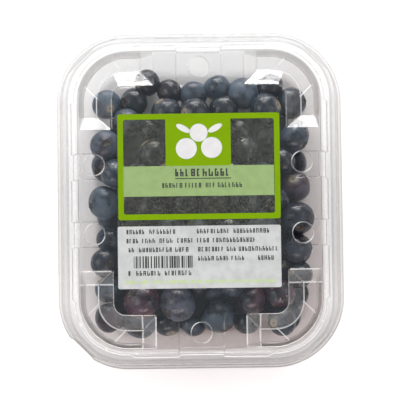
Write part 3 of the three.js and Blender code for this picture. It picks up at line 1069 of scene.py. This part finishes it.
def berry_material(settings):
    """Blue-black skin under a patchy waxy bloom, redder on berries that are less ripe."""
    material, tree = new_material("berry_skin")
    coordinates = add_node(tree, "ShaderNodeTexCoord").outputs["Object"]
    red = attribute_value(tree, "red")
    crown = attribute_value(tree, "crown")
    rough = BERRY_NOISE_ROUGHNESS
    rubbed = patches(tree, coordinates, RUBBED_PER_METRE, 3.0, (0.38, 0.60), RUBBED_SPAN, rough)
    dust = patches(tree, coordinates, DUST_PER_METRE, 2.0, (0.35, 0.75), DUST_SPAN, rough)
    bloom = math_node(tree, "MULTIPLY", rubbed, dust)
    bloom = math_node(tree, "MULTIPLY", bloom, attribute_value(tree, "tone"))
    blush = patches(tree, coordinates, BLUSH_PER_METRE, 2.0, (0.35, 0.6))
    blush = math_node(tree, "MULTIPLY", blush, red)
    bare = mix_colour(tree, blush, tuple(settings.skin), tuple(settings.reddish))
    reddened = math_node(tree, "MULTIPLY", red, REDDISH_BLOOM_SHARE)
    bloom_here = mix_colour(tree, reddened, tuple(settings.bloom), REDDISH_BLOOM)
    colour = mix_colour(tree, crown, mix_colour(tree, bloom, bare, bloom_here), CROWN_BROWN)
    round_scar = math_node(tree, "SUBTRACT", 1.0, crown)
    ring = math_node(tree, "MULTIPLY", attribute_value(tree, "scar"), round_scar)
    grain = math_node(tree, "MULTIPLY", dust, 0.6)
    inputs = {
        "Base Color": mix_colour(tree, ring, colour, SCAR_BEIGE),
        "Roughness": range_node(tree, bloom, 0.1, 0.8, BARE_ROUGHNESS, BLOOM_ROUGHNESS),
        "Specular IOR Level": BERRY_SHINE,
        "Normal": relief(tree, coordinates, GRAIN_PER_METRE, 2.0, 0.02, GRAIN_HEIGHT, grain),
    }
    put_out(tree, add_node(tree, "ShaderNodeBsdfPrincipled", inputs))
    return material


# The berries: where they lie, their shape, and the dark heap under them


def start_berries(numbers):
    """Where the berries start: the shown ones, a lower layer and the middle of an upper one."""
    berries = []
    for shown, z in ((LOW_SHOWN_BERRIES, LOWER_LAYER), (HIGH_SHOWN_BERRIES, UPPER_LAYER)):
        for x, y, across in shown:
            berries.append({"x": x, "y": y, "z": z, "radius": across / 2, "shown": True})
    layers = (
        (LOWER_LAYER, CORE_X + FRAME_WALL_FOOT - LOWER_LAYER, CORE_Y + FRAME_WALL_FOOT - LOWER_LAYER),
        (UPPER_LAYER, UPPER_HALF_WIDTH, UPPER_HALF_LENGTH),
    )
    for layer, (z, half_x, half_y) in enumerate(layers):
        rows = int(2 * half_y // ROW_PITCH) + 1
        for row in range(rows):
            columns = int(2 * half_x // COLUMN_PITCH) + 1 - (row + layer) % 2
            for column in range(columns):
                x = (column - (columns - 1) / 2) * COLUMN_PITCH + (next(numbers) - GRID_SCATTER)
                y = (row - (rows - 1) / 2) * ROW_PITCH + (next(numbers) - GRID_SCATTER)
                across = SMALLEST_BERRY + (LARGEST_BERRY - SMALLEST_BERRY) * next(numbers)
                berry = {"x": x, "y": y, "z": z, "radius": across / 2, "shown": False}
                if not crowded(berry, berries):
                    berries.append(berry)
    return berries


def crowded(berry, others):
    """Whether a shown berry already fills most of a new berry's place."""
    for other in others:
        dx = other["x"] - berry["x"]
        dy = other["y"] - berry["y"]
        dz = other["z"] - berry["z"]
        room = CROWDED_SHARE * (other["radius"] + berry["radius"])
        if other["shown"] and dx * dx + dy * dy + dz * dz < room * room:
            return True
    return False


def part_pair(a, b):
    """Two berries that overlap move apart, and a shown one mostly up or down."""
    dx = b["x"] - a["x"]
    dy = b["y"] - a["y"]
    dz = b["z"] - a["z"]
    apart = math.sqrt(dx * dx + dy * dy + dz * dz)
    touching = BERRY_CLOSENESS * (a["radius"] + b["radius"])
    if apart >= touching:
        return
    push = (touching - apart) / apart / 2
    yield_a = SHOWN_BERRY_YIELD if a["shown"] else 1
    yield_b = SHOWN_BERRY_YIELD if b["shown"] else 1
    a["x"] -= yield_a * push * dx
    a["y"] -= yield_a * push * dy
    b["x"] += yield_b * push * dx
    b["y"] += yield_b * push * dy
    a["z"] -= push * dz
    b["z"] += push * dz


def keep_in_tray(berry):
    """A berry stays inside the tray's sloping wall and on its floor."""
    berry["z"] = max(berry["z"], FRAME_WALL + WALL_CLEARANCE + berry["radius"])
    slope = (FRAME_WALL_TOP - FRAME_WALL_FOOT) / (FRAME_RIM_TOP - FRAME_FOOT_CURVE)
    wall = FRAME_WALL_FOOT - FRAME_WALL + slope * (berry["z"] - FRAME_FOOT_CURVE)
    room = wall - WALL_CLEARANCE - berry["radius"] * BERRY_BULGE
    past_x = abs(berry["x"]) - CORE_X
    past_y = abs(berry["y"]) - CORE_Y
    side_x = -1 if berry["x"] < 0 else 1
    side_y = -1 if berry["y"] < 0 else 1
    if past_x > 0 and past_y > 0:
        past = math.sqrt(past_x * past_x + past_y * past_y)
        if past > room:
            berry["x"] = side_x * (CORE_X + past_x * room / past)
            berry["y"] = side_y * (CORE_Y + past_y * room / past)
        return
    berry["x"] = side_x * min(abs(berry["x"]), CORE_X + room)
    berry["y"] = side_y * min(abs(berry["y"]), CORE_Y + room)


def settled_berries():
    """The berries sink a little at each step and part where they overlap."""
    numbers = numbers_from(HEAP_SEED)
    berries = start_berries(numbers)
    for _ in range(SETTLING_STEPS):
        for berry in berries:
            berry["z"] -= FALL_PER_STEP
        for index, berry in enumerate(berries):
            for other in berries[index + 1 :]:
                part_pair(berry, other)
        for berry in berries:
            keep_in_tray(berry)
    for index, berry in enumerate(berries):
        axis = Vector([next(numbers) - 0.5 for _ in range(3)]).normalized()
        red = REDNESS * max(0.0, next(numbers) - REDDER_ABOVE)
        tone = LEAST_BLOOM + BLOOM_SPAN * next(numbers) ** BLOOM_POWER
        if index in NOTED_BERRIES:
            way, red, tone = NOTED_BERRIES[index]
            axis = Vector(way).normalized()
        berry["axis"] = axis
        berry["red"] = red
        berry["tone"] = tone
    return berries


def crown_rim(around, spread):
    """How far from the axis the crown's rim stands at one bearing, and how far in a lobe that is."""
    lobe = 0.5 + 0.5 * math.cos(CROWN_LOBES * around)
    return spread * (0.80 + 0.45 * lobe * lobe), lobe


def crown_height(share, lobe):
    """Height of the crown over the berry's round; share is the way out from the axis to the rim."""
    if share < 1.0:
        return -CROWN_HOLLOW * (1 - share) + CROWN_RISE * share**3
    return CROWN_RISE * max(0.0, 1 - (share - 1.0) * 4) * (0.4 + 0.6 * lobe)


def berry_template(name, spread, lumps, seed):
    """One berry of radius 1 about its own middle, with its crown on top and the stem's scar below."""
    shape = bmesh.new()
    crown = shape.verts.layers.float.new("crown")
    scar = shape.verts.layers.float.new("scar")
    chain = []
    for polar in CROWN_RINGS + ROUND_RINGS + SCAR_RINGS:
        angle = math.radians(polar)
        chain.append(shape.verts.new((math.sin(angle), 0, math.cos(angle))))
    run = [shape.edges.new(pair) for pair in zip(chain, chain[1:])]
    bmesh.ops.spin(
        shape,
        geom=chain + run,
        cent=(0, 0, 0),
        axis=(0, 0, 1),
        angle=2 * math.pi,
        steps=BERRY_SIDES,
        use_merge=True,
    )
    bmesh.ops.remove_doubles(shape, verts=shape.verts, dist=1e-4)
    bmesh.ops.recalc_face_normals(shape, faces=shape.faces)
    for corner in shape.verts:
        way = corner.co.copy()
        reach = math.hypot(way.x, way.y)
        lump = 1 + lumps * noise.noise(way * 0.9 + Vector((seed, 0, 0)))
        corner.co = Vector((way.x * lump, way.y * lump, way.z * lump * BERRY_SQUASH))
        if way.z > 0 and reach < CROWN_REGION:
            rim, lobe = crown_rim(math.atan2(way.y, way.x), spread)
            corner.co.z += crown_height(reach / rim, lobe)
            corner[crown] = max(0.0, min(1.0, (1.15 - reach / rim) / 0.25))
        if way.z < 0 and reach < SCAR_REACH:
            dip = 1 - reach / SCAR_REACH
            corner.co.z += SCAR_DEPTH * dip * dip
            corner[scar] = min(1.0, 2.4 * dip)
            corner[crown] = max(0.0, 3.0 * dip - 2.0)
    mesh = bpy.data.meshes.new(name)
    shape.to_mesh(mesh)
    shape.free()
    return mesh


def make_berries(settings):
    """All the berries as one piece, each a turned copy of one of a few shapes."""
    templates = [berry_template(*kind) for kind in BERRY_SHAPES]
    shape = bmesh.new()
    up = Vector((0, 0, 1))
    for index, berry in enumerate(settled_berries()):
        one = templates[index % len(templates)].copy()
        size = berry["radius"] * MM
        turn = up.rotation_difference(berry["axis"]).to_matrix().to_4x4()
        spin = Matrix.Rotation(index * TURN_BETWEEN_BERRIES, 4, "Z")
        place = Matrix.Translation(metres(berry["x"], berry["y"], berry["z"]))
        one.transform(place @ turn @ spin @ Matrix.Scale(size, 4))
        for name, value in (("tone", berry["tone"]), ("red", berry["red"])):
            layer = one.attributes.new(name, "FLOAT", "POINT")
            layer.data.foreach_set("value", [value] * len(one.vertices))
        shape.from_mesh(one)
        bpy.data.meshes.remove(one)
    for template in templates:
        bpy.data.meshes.remove(template)
    return piece_from(shape, "blueberries", berry_material(settings), BERRY_SHARP_ABOVE)


def make_heap_core(material):
    """The lumpy middle of the heap in painted shade, which only shows as depth between the berries."""
    shape = bmesh.new()
    bmesh.ops.create_grid(shape, x_segments=24, y_segments=26, size=1.0)
    half_length = (HEAP_CORE_BACK - HEAP_CORE_FRONT) / 2
    bmesh.ops.scale(shape, vec=(HEAP_CORE_HALF_WIDTH * MM, half_length * MM, 1), verts=shape.verts)
    middle = (HEAP_CORE_BACK + HEAP_CORE_FRONT) / 2
    bmesh.ops.translate(shape, vec=metres(0, middle, HEAP_CORE_TOP), verts=shape.verts)
    for corner in shape.verts:
        corner.co.z += HEAP_TOP_LUMP * MM * noise.noise(corner.co * HEAP_TOP_LUMPS_PER_METRE)
    below = bmesh.ops.extrude_face_region(shape, geom=shape.faces[:])["geom"]
    lowered = [part for part in below if isinstance(part, bmesh.types.BMVert)]
    for corner in lowered:
        place = corner.co * HEAP_FOOT_LUMPS_PER_METRE + Vector((5, 0, 0))
        corner.co.z = HEAP_CORE_BOTTOM * MM + HEAP_FOOT_LUMP * MM * noise.noise(place)
    bmesh.ops.recalc_face_normals(shape, faces=shape.faces)
    return piece_from(shape, "heap_core", material, SHEET_SHARP_ABOVE)


# The lid and the tray


def in_corner(point, side_x, side_y):
    """Whether a point lies in one quarter of the pack."""
    return point.x * side_x > 0 and point.y * side_y > 0


def set_down_stripe(shape, side_x, side_y):
    """The floor of one pocket has a flat stripe across the corner, a step lower than the rest, with a
    painted white glint along its edges.
    """
    floor = (LID_TOP - POCKET_DEPTH) * MM
    near = 0.6 * MM
    white = shape.faces.layers.float["white"]
    centre = metres(side_x * CORE_X, side_y * CORE_Y, 0)
    across = Vector((-side_y, side_x, 0)).normalized()
    for edge in (-1, 1):
        for offset in (STRIPE_HALF_WIDTH - STRIPE_EDGE, STRIPE_HALF_WIDTH + STRIPE_EDGE):
            parts = set()
            for face in shape.faces:
                middle = face.calc_center_median()
                if in_corner(middle, side_x, side_y) and abs(middle.z - floor) < near:
                    parts.update((*face.verts, *face.edges, face))
            bmesh.ops.bisect_plane(
                shape,
                geom=list(parts),
                dist=1e-7,
                plane_co=centre + across * edge * offset * MM,
                plane_no=across,
            )
    # A painted white glint along the stripe's edges on the floor
    for face in shape.faces:
        middle = face.calc_center_median()
        from_edge = abs((middle - centre).dot(across)) / MM - STRIPE_HALF_WIDTH
        if in_corner(middle, side_x, side_y) and abs(from_edge) < STRIPE_EDGE and middle.z < floor + near:
            face[white] = STRIPE_EDGE_PAINTED_GLINT
    for corner in shape.verts:
        off = abs((corner.co - centre).dot(across)) / MM
        on_floor = in_corner(corner.co, side_x, side_y) and abs(corner.co.z - floor) < 0.1 * MM
        if on_floor and off < STRIPE_HALF_WIDTH:
            corner.co.z -= STRIPE_DEPTH * MM


def disc(shape, radius, depth, sides):
    """A flat-lying round disc in the middle; gives its corners."""
    return bmesh.ops.create_cone(
        shape,
        cap_ends=True,
        segments=sides,
        radius1=radius * MM,
        radius2=radius * MM,
        depth=depth * MM,
    )["verts"]


def vent_cutter():
    """Upright cylinders where the vents go through the lid."""
    shape = bmesh.new()
    for x, y in VENTS:
        made = disc(shape, VENT_RADIUS, 6, VENT_SIDES)
        bmesh.ops.translate(shape, vec=metres(x, y, LID_TOP), verts=made)
    mesh = bpy.data.meshes.new("vent_cutter")
    shape.to_mesh(mesh)
    shape.free()
    cutter = bpy.data.objects.new("vent_cutter", mesh)
    bpy.context.scene.collection.objects.link(cutter)
    return cutter


def add_vent_rims(shape):
    """A fine bead round each vent, where the punch has turned the sheet up, with painted shade and a
    painted white rim all round and painted glints on two sides.
    """
    fold = shape.faces.layers.float["fold"]
    white = shape.faces.layers.float["white"]
    top = LID_TOP - RECESS_DEPTH
    for x, y in VENTS:
        before = set(shape.faces)
        start = [shape.verts.new(metres(x + VENT_RADIUS + dx, y, top + dz)) for dx, dz in VENT_BEAD]
        run = [shape.edges.new(pair) for pair in zip(start, start[1:] + start[:1])]
        bmesh.ops.spin(
            shape,
            geom=start + run,
            cent=metres(x, y, 0),
            axis=(0, 0, 1),
            angle=2 * math.pi,
            steps=VENT_SIDES,
            use_merge=True,
        )
        for face in set(shape.faces) - before:
            way = face.calc_center_median() - metres(x, y, top)
            # Painted white glints on two opposite sides of each bead
            painted_glint = max(0.0, -2 * way.x * way.y / (way.x**2 + way.y**2))
            face[white] = BEAD_PAINTED_HIGHLIGHT + BEAD_PAINTED_GLINT * painted_glint
            face[fold] = BEAD_PAINTED_SHADE


def thicken(piece, sheet):
    """Gives an open sheet its thickness, on the inner side."""
    thick = piece.modifiers.new("thickness", "SOLIDIFY")
    thick.thickness = sheet
    thick.offset = -1
    thick.use_even_offset = True
    settle_modifiers(piece)


def even_shading(piece):
    """Smooth shading, in which flat parts keep their own up to the eased edges."""
    smooth_piece(piece.data, SHEET_SHARP_ABOVE)
    weighted = piece.modifiers.new("even_shading", "WEIGHTED_NORMAL")
    weighted.keep_sharp = True
    weighted.weight = 60
    settle_modifiers(piece)


def make_lid(settings):
    """The clear lid: skirt, flange, notched wall, cross-shaped plateau, sunk pockets and vents."""
    material = clear_sheet_material(
        "lid_plastic", settings.tint, settings.edge_tint, settings.gloss_roughness, LID_LOOK
    )
    shape = lofted_sheet(lid_section, lid_marks, SKIRT_REACH)
    face_way(shape, True)
    for side_x in (-1, 1):
        for side_y in (-1, 1):
            set_down_stripe(shape, side_x, side_y)
    piece = piece_from(shape, "lid_shell", material, SHEET_SHARP_ABOVE)
    thicken(piece, settings.sheet)
    cutter = vent_cutter()
    cut = piece.modifiers.new("vents", "BOOLEAN")
    cut.operation = "DIFFERENCE"
    cut.solver = "EXACT"
    cut.object = cutter
    settle_modifiers(piece)
    bpy.data.meshes.remove(cutter.data)
    shape = bmesh.new()
    shape.from_mesh(piece.data)
    add_vent_rims(shape)
    bmesh.ops.recalc_face_normals(shape, faces=shape.faces)
    shape.to_mesh(piece.data)
    shape.free()
    even_shading(piece)
    return piece


def make_tray(settings):
    """The clear tray: rim, sloping wall, rounded foot and a base with a raised panel."""
    material = clear_sheet_material(
        "tray_plastic", settings.tint, settings.edge_tint, settings.gloss_roughness, TRAY_LOOK, below_rim_shade=True
    )
    shape = lofted_sheet(tray_section, tray_marks, TRAY_SKIRT_REACH)
    face_way(shape, False)
    piece = piece_from(shape, "tray_shell", material, SHEET_SHARP_ABOVE)
    thicken(piece, settings.sheet)
    even_shading(piece)
    return piece


# The label


def rounded_plate(shape, field, corner, bottom, thickness):
    """A thin plate over one field of the label, with round corners unless corner is 0."""
    left, right, low, high = field
    made = bmesh.ops.create_cube(shape, size=1.0)["verts"]
    bmesh.ops.scale(shape, vec=((right - left) * MM, (high - low) * MM, thickness * MM), verts=made)
    middle = metres((left + right) / 2, (low + high) / 2, bottom + thickness / 2)
    bmesh.ops.translate(shape, vec=middle, verts=made)
    if corner:
        edges = {edge for point in made for edge in point.link_edges}
        upright = [edge for edge in edges if abs(edge.verts[0].co.z - edge.verts[1].co.z) > 1e-7]
        round_corners(shape, upright, corner, PLATE_CORNER_STEPS, "EDGES")


def printed_frame(shape, inner, border, corner, bottom):
    """A printed border round a window with round corners."""
    left, right, low, high = inner
    made = bmesh.ops.create_grid(shape, x_segments=1, y_segments=1, size=0.5)["verts"]
    bmesh.ops.scale(shape, vec=((right - left) * MM, (high - low) * MM, 1), verts=made)
    middle = metres((left + right) / 2, (low + high) / 2, bottom)
    bmesh.ops.translate(shape, vec=middle, verts=made)
    round_corners(shape, made, corner, PLATE_CORNER_STEPS, "VERTICES")
    bmesh.ops.delete(shape, geom=shape.faces[:], context="FACES_ONLY")
    outer = bmesh.ops.extrude_edge_only(shape, edges=shape.edges[:])["geom"]
    for point in (part for part in outer if isinstance(part, bmesh.types.BMVert)):
        point.co.x += math.copysign(border * MM, point.co.x - middle.x)
        point.co.y += math.copysign(border * MM, point.co.y - middle.y)
    raised = bmesh.ops.extrude_face_region(shape, geom=shape.faces[:])["geom"]
    for point in (part for part in raised if isinstance(part, bmesh.types.BMVert)):
        point.co.z += PRINT_THICKNESS * MM
    bmesh.ops.recalc_face_normals(shape, faces=shape.faces)


def make_label(settings):
    """The film with its printed fields, each a thin plate on the film."""
    film = clear_sheet_material("label_film", FILM_TINT, FILM_EDGE_TINT, FILM_ROUGHNESS, FILM_LOOK)
    shape = bmesh.new()
    rounded_plate(shape, LABEL_FIELD, LABEL_CORNER, LABEL_BOTTOM, FILM_THICKNESS)
    pieces = [piece_from(shape, "label_film_sheet", film)]
    bottom = LABEL_BOTTOM + FILM_THICKNESS
    green = print_material(
        "label_green", settings.green, roughness=0.4, mottle=0.06, mottle_scale=200.0, shine=0.08
    )
    pale = print_material(
        "label_pale_green", settings.pale_green, roughness=0.45, mottle=0.10, mottle_scale=300.0, shine=0.15
    )
    panel = print_material("label_panel", settings.panel, roughness=0.5, mottle=0.16, mottle_scale=260.0)
    ink = print_material("label_ink", settings.ink, roughness=0.5, mottle=0.1, mottle_scale=900.0)
    white = print_material("label_white", MARK_WHITE, roughness=0.45, mottle=0.08, mottle_scale=300.0)

    shape = bmesh.new()
    printed_frame(shape, WINDOW_FIELD, FRAME_BORDER, FRAME_CORNER, bottom)
    rounded_plate(shape, BLOCK_FIELD, 0, bottom, PRINT_THICKNESS)
    pieces.append(piece_from(shape, "label_green_print", green))

    for name, field, corner, material in (
        ("label_title_band", BAND_FIELD, 0, pale),
        ("label_lower_panel", PANEL_FIELD, PANEL_CORNER, panel),
    ):
        shape = bmesh.new()
        rounded_plate(shape, field, corner, bottom, PRINT_THICKNESS)
        pieces.append(piece_from(shape, name, material))

    pieces.append(make_motif(white, bottom + PRINT_THICKNESS))
    pieces.append(make_bars(ink, bottom + PRINT_THICKNESS))
    pieces.append(make_small_print(bottom + PRINT_THICKNESS))
    for piece in pieces:
        smooth_piece(piece.data, PRINT_SHARP_ABOVE)
    return pieces


def make_motif(material, bottom):
    """A plain sign of fruit: three round berries and two leaves, in white on the green block."""
    shape = bmesh.new()
    middle = bottom + PRINT_THICKNESS / 2
    for x, y, radius in SIGN_BERRIES:
        made = disc(shape, radius, PRINT_THICKNESS, 40)
        bmesh.ops.translate(shape, vec=metres(x, y, middle), verts=made)
    for side in (-1, 1):
        made = disc(shape, 1.0, PRINT_THICKNESS, 32)
        turn = Matrix.Rotation(side * LEAF_TURN, 3, "Z")
        bmesh.ops.scale(shape, vec=(*LEAF_HALF_SIZE, 1), verts=made)
        bmesh.ops.rotate(shape, cent=(0, 0, 0), matrix=turn, verts=made)
        bmesh.ops.translate(shape, vec=metres(side * LEAF_PLACE[0], LEAF_PLACE[1], middle), verts=made)
    return piece_from(shape, "label_motif", material)


def word_marks(shape, line, bottom):
    """A line of text as marks without meaning: each letter is an upright with a few more strokes."""
    words, middle, height, seed = line
    numbers = numbers_from(seed)
    stroke = STROKE_SHARE * height
    low = middle - height / 2
    for left, right in words:
        place = left
        while place + 0.5 * height < right:
            width = height * (LETTER_WIDTH + LETTER_WIDTH_SPAN * next(numbers))
            plates = [(place, place + stroke, low, low + height)]
            if next(numbers) > NO_SECOND_UPRIGHT:
                shorter = height * (SHORT_STROKE if next(numbers) > 0.5 else 1.0)
                plates.append((place + width - stroke, place + width, low, low + shorter))
            for level in (0.0, 0.5, 1.0):
                if next(numbers) > NO_CROSS_STROKE:
                    foot = low + (height - stroke) * level
                    plates.append((place + stroke, place + width - stroke, foot, foot + stroke))
            for plate in plates:
                rounded_plate(shape, plate, 0, bottom, PRINT_THICKNESS)
            place += width + LETTER_GAP * height


def make_bars(material, bottom):
    """The dark print: lines of marks and a run of upright bars."""
    shape = bmesh.new()
    word_marks(shape, TITLE_LINE, bottom)
    rounded_plate(shape, TITLE_UNDERLINE, 0, bottom, PRINT_THICKNESS)
    for line in (SECOND_LINE, *PANEL_LINES):
        word_marks(shape, line, bottom)
    numbers = numbers_from(BAR_SEED)
    place, end, low, high = BAR_FIELD
    while place < end:
        width = BAR_MODULE * (1 + int(next(numbers) * 3))
        rounded_plate(shape, (place, place + width, low, high), 0, bottom, PRINT_THICKNESS)
        place += width + BAR_MODULE * (1 + int(next(numbers) * 3))
    word_marks(shape, UNDER_BAR_LINE, bottom)
    return piece_from(shape, "label_dark_print", material)


def make_small_print(bottom):
    """The faint green line along the foot of the panel."""
    material = print_material(
        "label_faint_green", FAINT_GREEN, roughness=0.5, mottle=0.1, mottle_scale=900.0
    )
    shape = bmesh.new()
    word_marks(shape, FOOT_LINE, bottom)
    return piece_from(shape, "label_small_print", material)


# The operators that build each piece


class PUNNET_OT_tray(bpy.types.Operator):
    """Build the clear tray in place of its solid"""

    bl_idname = "punnet.tray"
    bl_label = "Tray"

    def execute(self, context):
        """Builds it and puts it in its solid's place."""
        piece = make_tray(context.scene.punnet_pack)
        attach(piece, "root")
        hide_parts("tray")
        return {"FINISHED"}


class PUNNET_OT_lid(bpy.types.Operator):
    """Build the clear vented lid in place of its solid"""

    bl_idname = "punnet.lid"
    bl_label = "Lid"

    def execute(self, context):
        """Builds it and puts it in its solid's place."""
        piece = make_lid(context.scene.punnet_pack)
        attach(piece, "root")
        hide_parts("lid")
        return {"FINISHED"}


class PUNNET_OT_berries(bpy.types.Operator):
    """Build the heap of berries in place of its solid"""

    bl_idname = "punnet.berries"
    bl_label = "Berries"

    def execute(self, context):
        """Builds it and puts it in its solid's place."""
        berries = make_berries(context.scene.punnet_berries)
        shade = print_material("heap_shade", HEAP_SHADE, roughness=0.7, mottle=0.5, mottle_scale=150.0)
        core = make_heap_core(shade)
        for piece in (berries, core):
            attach(piece, "root")
        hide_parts("berries")
        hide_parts("berries")
        return {"FINISHED"}


class PUNNET_OT_label(bpy.types.Operator):
    """Build the film label and its print in place of its solid"""

    bl_idname = "punnet.label"
    bl_label = "Label"

    def execute(self, context):
        """Builds it and puts it in its solid's place."""
        for piece in make_label(context.scene.punnet_label):
            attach(piece, "root")
            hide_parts("label")
        return {"FINISHED"}


# The studio


def make_floor():
    """A wide white floor just under the pack."""
    shape = bmesh.new()
    bmesh.ops.create_grid(shape, x_segments=1, y_segments=1, size=FLOOR_HALF_SIZE)
    bmesh.ops.translate(shape, vec=(0, 0, -FLOOR_GAP), verts=shape.verts)
    paint = print_material("floor_paint", FLOOR_PAINT, roughness=0.9, mottle=0.01, mottle_scale=3.0)
    return piece_from(shape, "studio_floor", paint)


def make_sky(strength):
    """Even light from all round, darker straight overhead."""
    world = bpy.data.worlds.new("studio_sky")
    world.use_nodes = True
    tree = world.node_tree
    way = add_node(tree, "ShaderNodeTexCoord").outputs["Generated"]
    height = add_node(tree, "ShaderNodeSeparateXYZ")
    tree.links.new(way, height.inputs[0])
    overhead = range_node(tree, height.outputs["Z"], OVERHEAD_FROM, OVERHEAD_WHOLE)
    tint = mix_colour(tree, overhead, (1.0, 1.0, 1.0), OVERHEAD_TINT)
    backdrop = tree.nodes["Background"]
    backdrop.inputs["Strength"].default_value = strength
    tree.links.new(tint, backdrop.inputs["Color"])
    return world


def soft_box(name, place, target, width, height, radiance, colour):
    """An area light that faces the target."""
    light = bpy.data.lights.new(name, "AREA")
    light.shape = "RECTANGLE"
    light.size = width
    light.size_y = height
    light.energy = radiance * math.pi * width * height
    light.color = colour
    box = bpy.data.objects.new(name, light)
    bpy.context.scene.collection.objects.link(box)
    box.location = place
    way = Vector(target) - Vector(place)
    box.rotation_euler = way.to_track_quat("-Z", "Y").to_euler()
    box.visible_camera = False


def make_camera(stage):
    """The camera over the pack, aimed at the middle of its rim."""
    camera = bpy.data.cameras.new("studio_camera")
    camera.sensor_width = 36.0
    camera.lens = camera.sensor_width * stage.distance / stage.view_width
    camera.clip_start = 0.01
    camera.clip_end = 20
    holder = bpy.data.objects.new("studio_camera", camera)
    bpy.context.scene.collection.objects.link(holder)
    target = metres(0, 0, RIM_TOP)
    back = Vector((0, -math.sin(stage.lean), math.cos(stage.lean)))
    holder.rotation_mode = "QUATERNION"
    holder.location = target + back * stage.distance
    aim = (-back).to_track_quat("-Z", "Y")
    holder.rotation_quaternion = aim @ Matrix.Rotation(stage.roll, 3, "Z").to_quaternion()
    return holder


class PUNNET_OT_stage(bpy.types.Operator):
    """Set the floor, the soft studio light and the camera"""

    bl_idname = "punnet.stage"
    bl_label = "Stage"

    def execute(self, context):
        """Builds the studio round the pack."""
        scene = context.scene
        stage = scene.punnet_stage
        floor = make_floor()
        scene.world = make_sky(stage.sky)
        for box in STUDIO_BOXES:
            soft_box(*box)
        scene.camera = make_camera(stage)
        scene.view_settings.view_transform = "Standard"
        scene.cycles.transparent_max_bounces = 24
        return {"FINISHED"}


class PUNNET_PT_panel(bpy.types.Panel):
    """Lists the pieces of the punnet"""

    bl_idname = "PUNNET_PT_panel"
    bl_label = "Punnet of blueberries"
    bl_space_type = "VIEW_3D"
    bl_region_type = "UI"
    bl_category = "Punnet"

    def draw(self, context):
        """Shows the settings of each piece over its button."""
        scene = context.scene
        for settings, names, operator in (
            (scene.punnet_pack, ("sheet", "tint", "edge_tint", "gloss_roughness"), "punnet.tray"),
            (scene.punnet_pack, (), "punnet.lid"),
            (scene.punnet_berries, ("skin", "bloom", "reddish"), "punnet.berries"),
            (scene.punnet_label, ("green", "pale_green", "panel", "ink"), "punnet.label"),
            (scene.punnet_stage, ("distance", "lean", "roll", "view_width", "sky"), "punnet.stage"),
        ):
            box = self.layout.box()
            for name in names:
                box.prop(settings, name)
            box.operator(operator)


CLASSES = (
    PackSettings,
    BerrySettings,
    LabelSettings,
    StageSettings,
    PUNNET_OT_tray,
    PUNNET_OT_lid,
    PUNNET_OT_berries,
    PUNNET_OT_label,
    PUNNET_OT_stage,
    PUNNET_PT_panel,
)


def register():
    """Adds the classes and the settings to Blender."""
    for kind in CLASSES:
        bpy.utils.register_class(kind)
    bpy.types.Scene.punnet_pack = bpy.props.PointerProperty(type=PackSettings)
    bpy.types.Scene.punnet_berries = bpy.props.PointerProperty(type=BerrySettings)
    bpy.types.Scene.punnet_label = bpy.props.PointerProperty(type=LabelSettings)
    bpy.types.Scene.punnet_stage = bpy.props.PointerProperty(type=StageSettings)


def unregister():
    """Takes the settings and the classes out again."""
    del bpy.types.Scene.punnet_stage
    del bpy.types.Scene.punnet_label
    del bpy.types.Scene.punnet_berries
    del bpy.types.Scene.punnet_pack
    for kind in reversed(CLASSES):
        bpy.utils.unregister_class(kind)


def main():
    """Builds every piece in order."""
    register()
    bpy.ops.punnet.tray()
    bpy.ops.punnet.berries()
    bpy.ops.punnet.lid()
    bpy.ops.punnet.label()
    bpy.ops.punnet.stage()


if __name__ == "__main__":
    main()
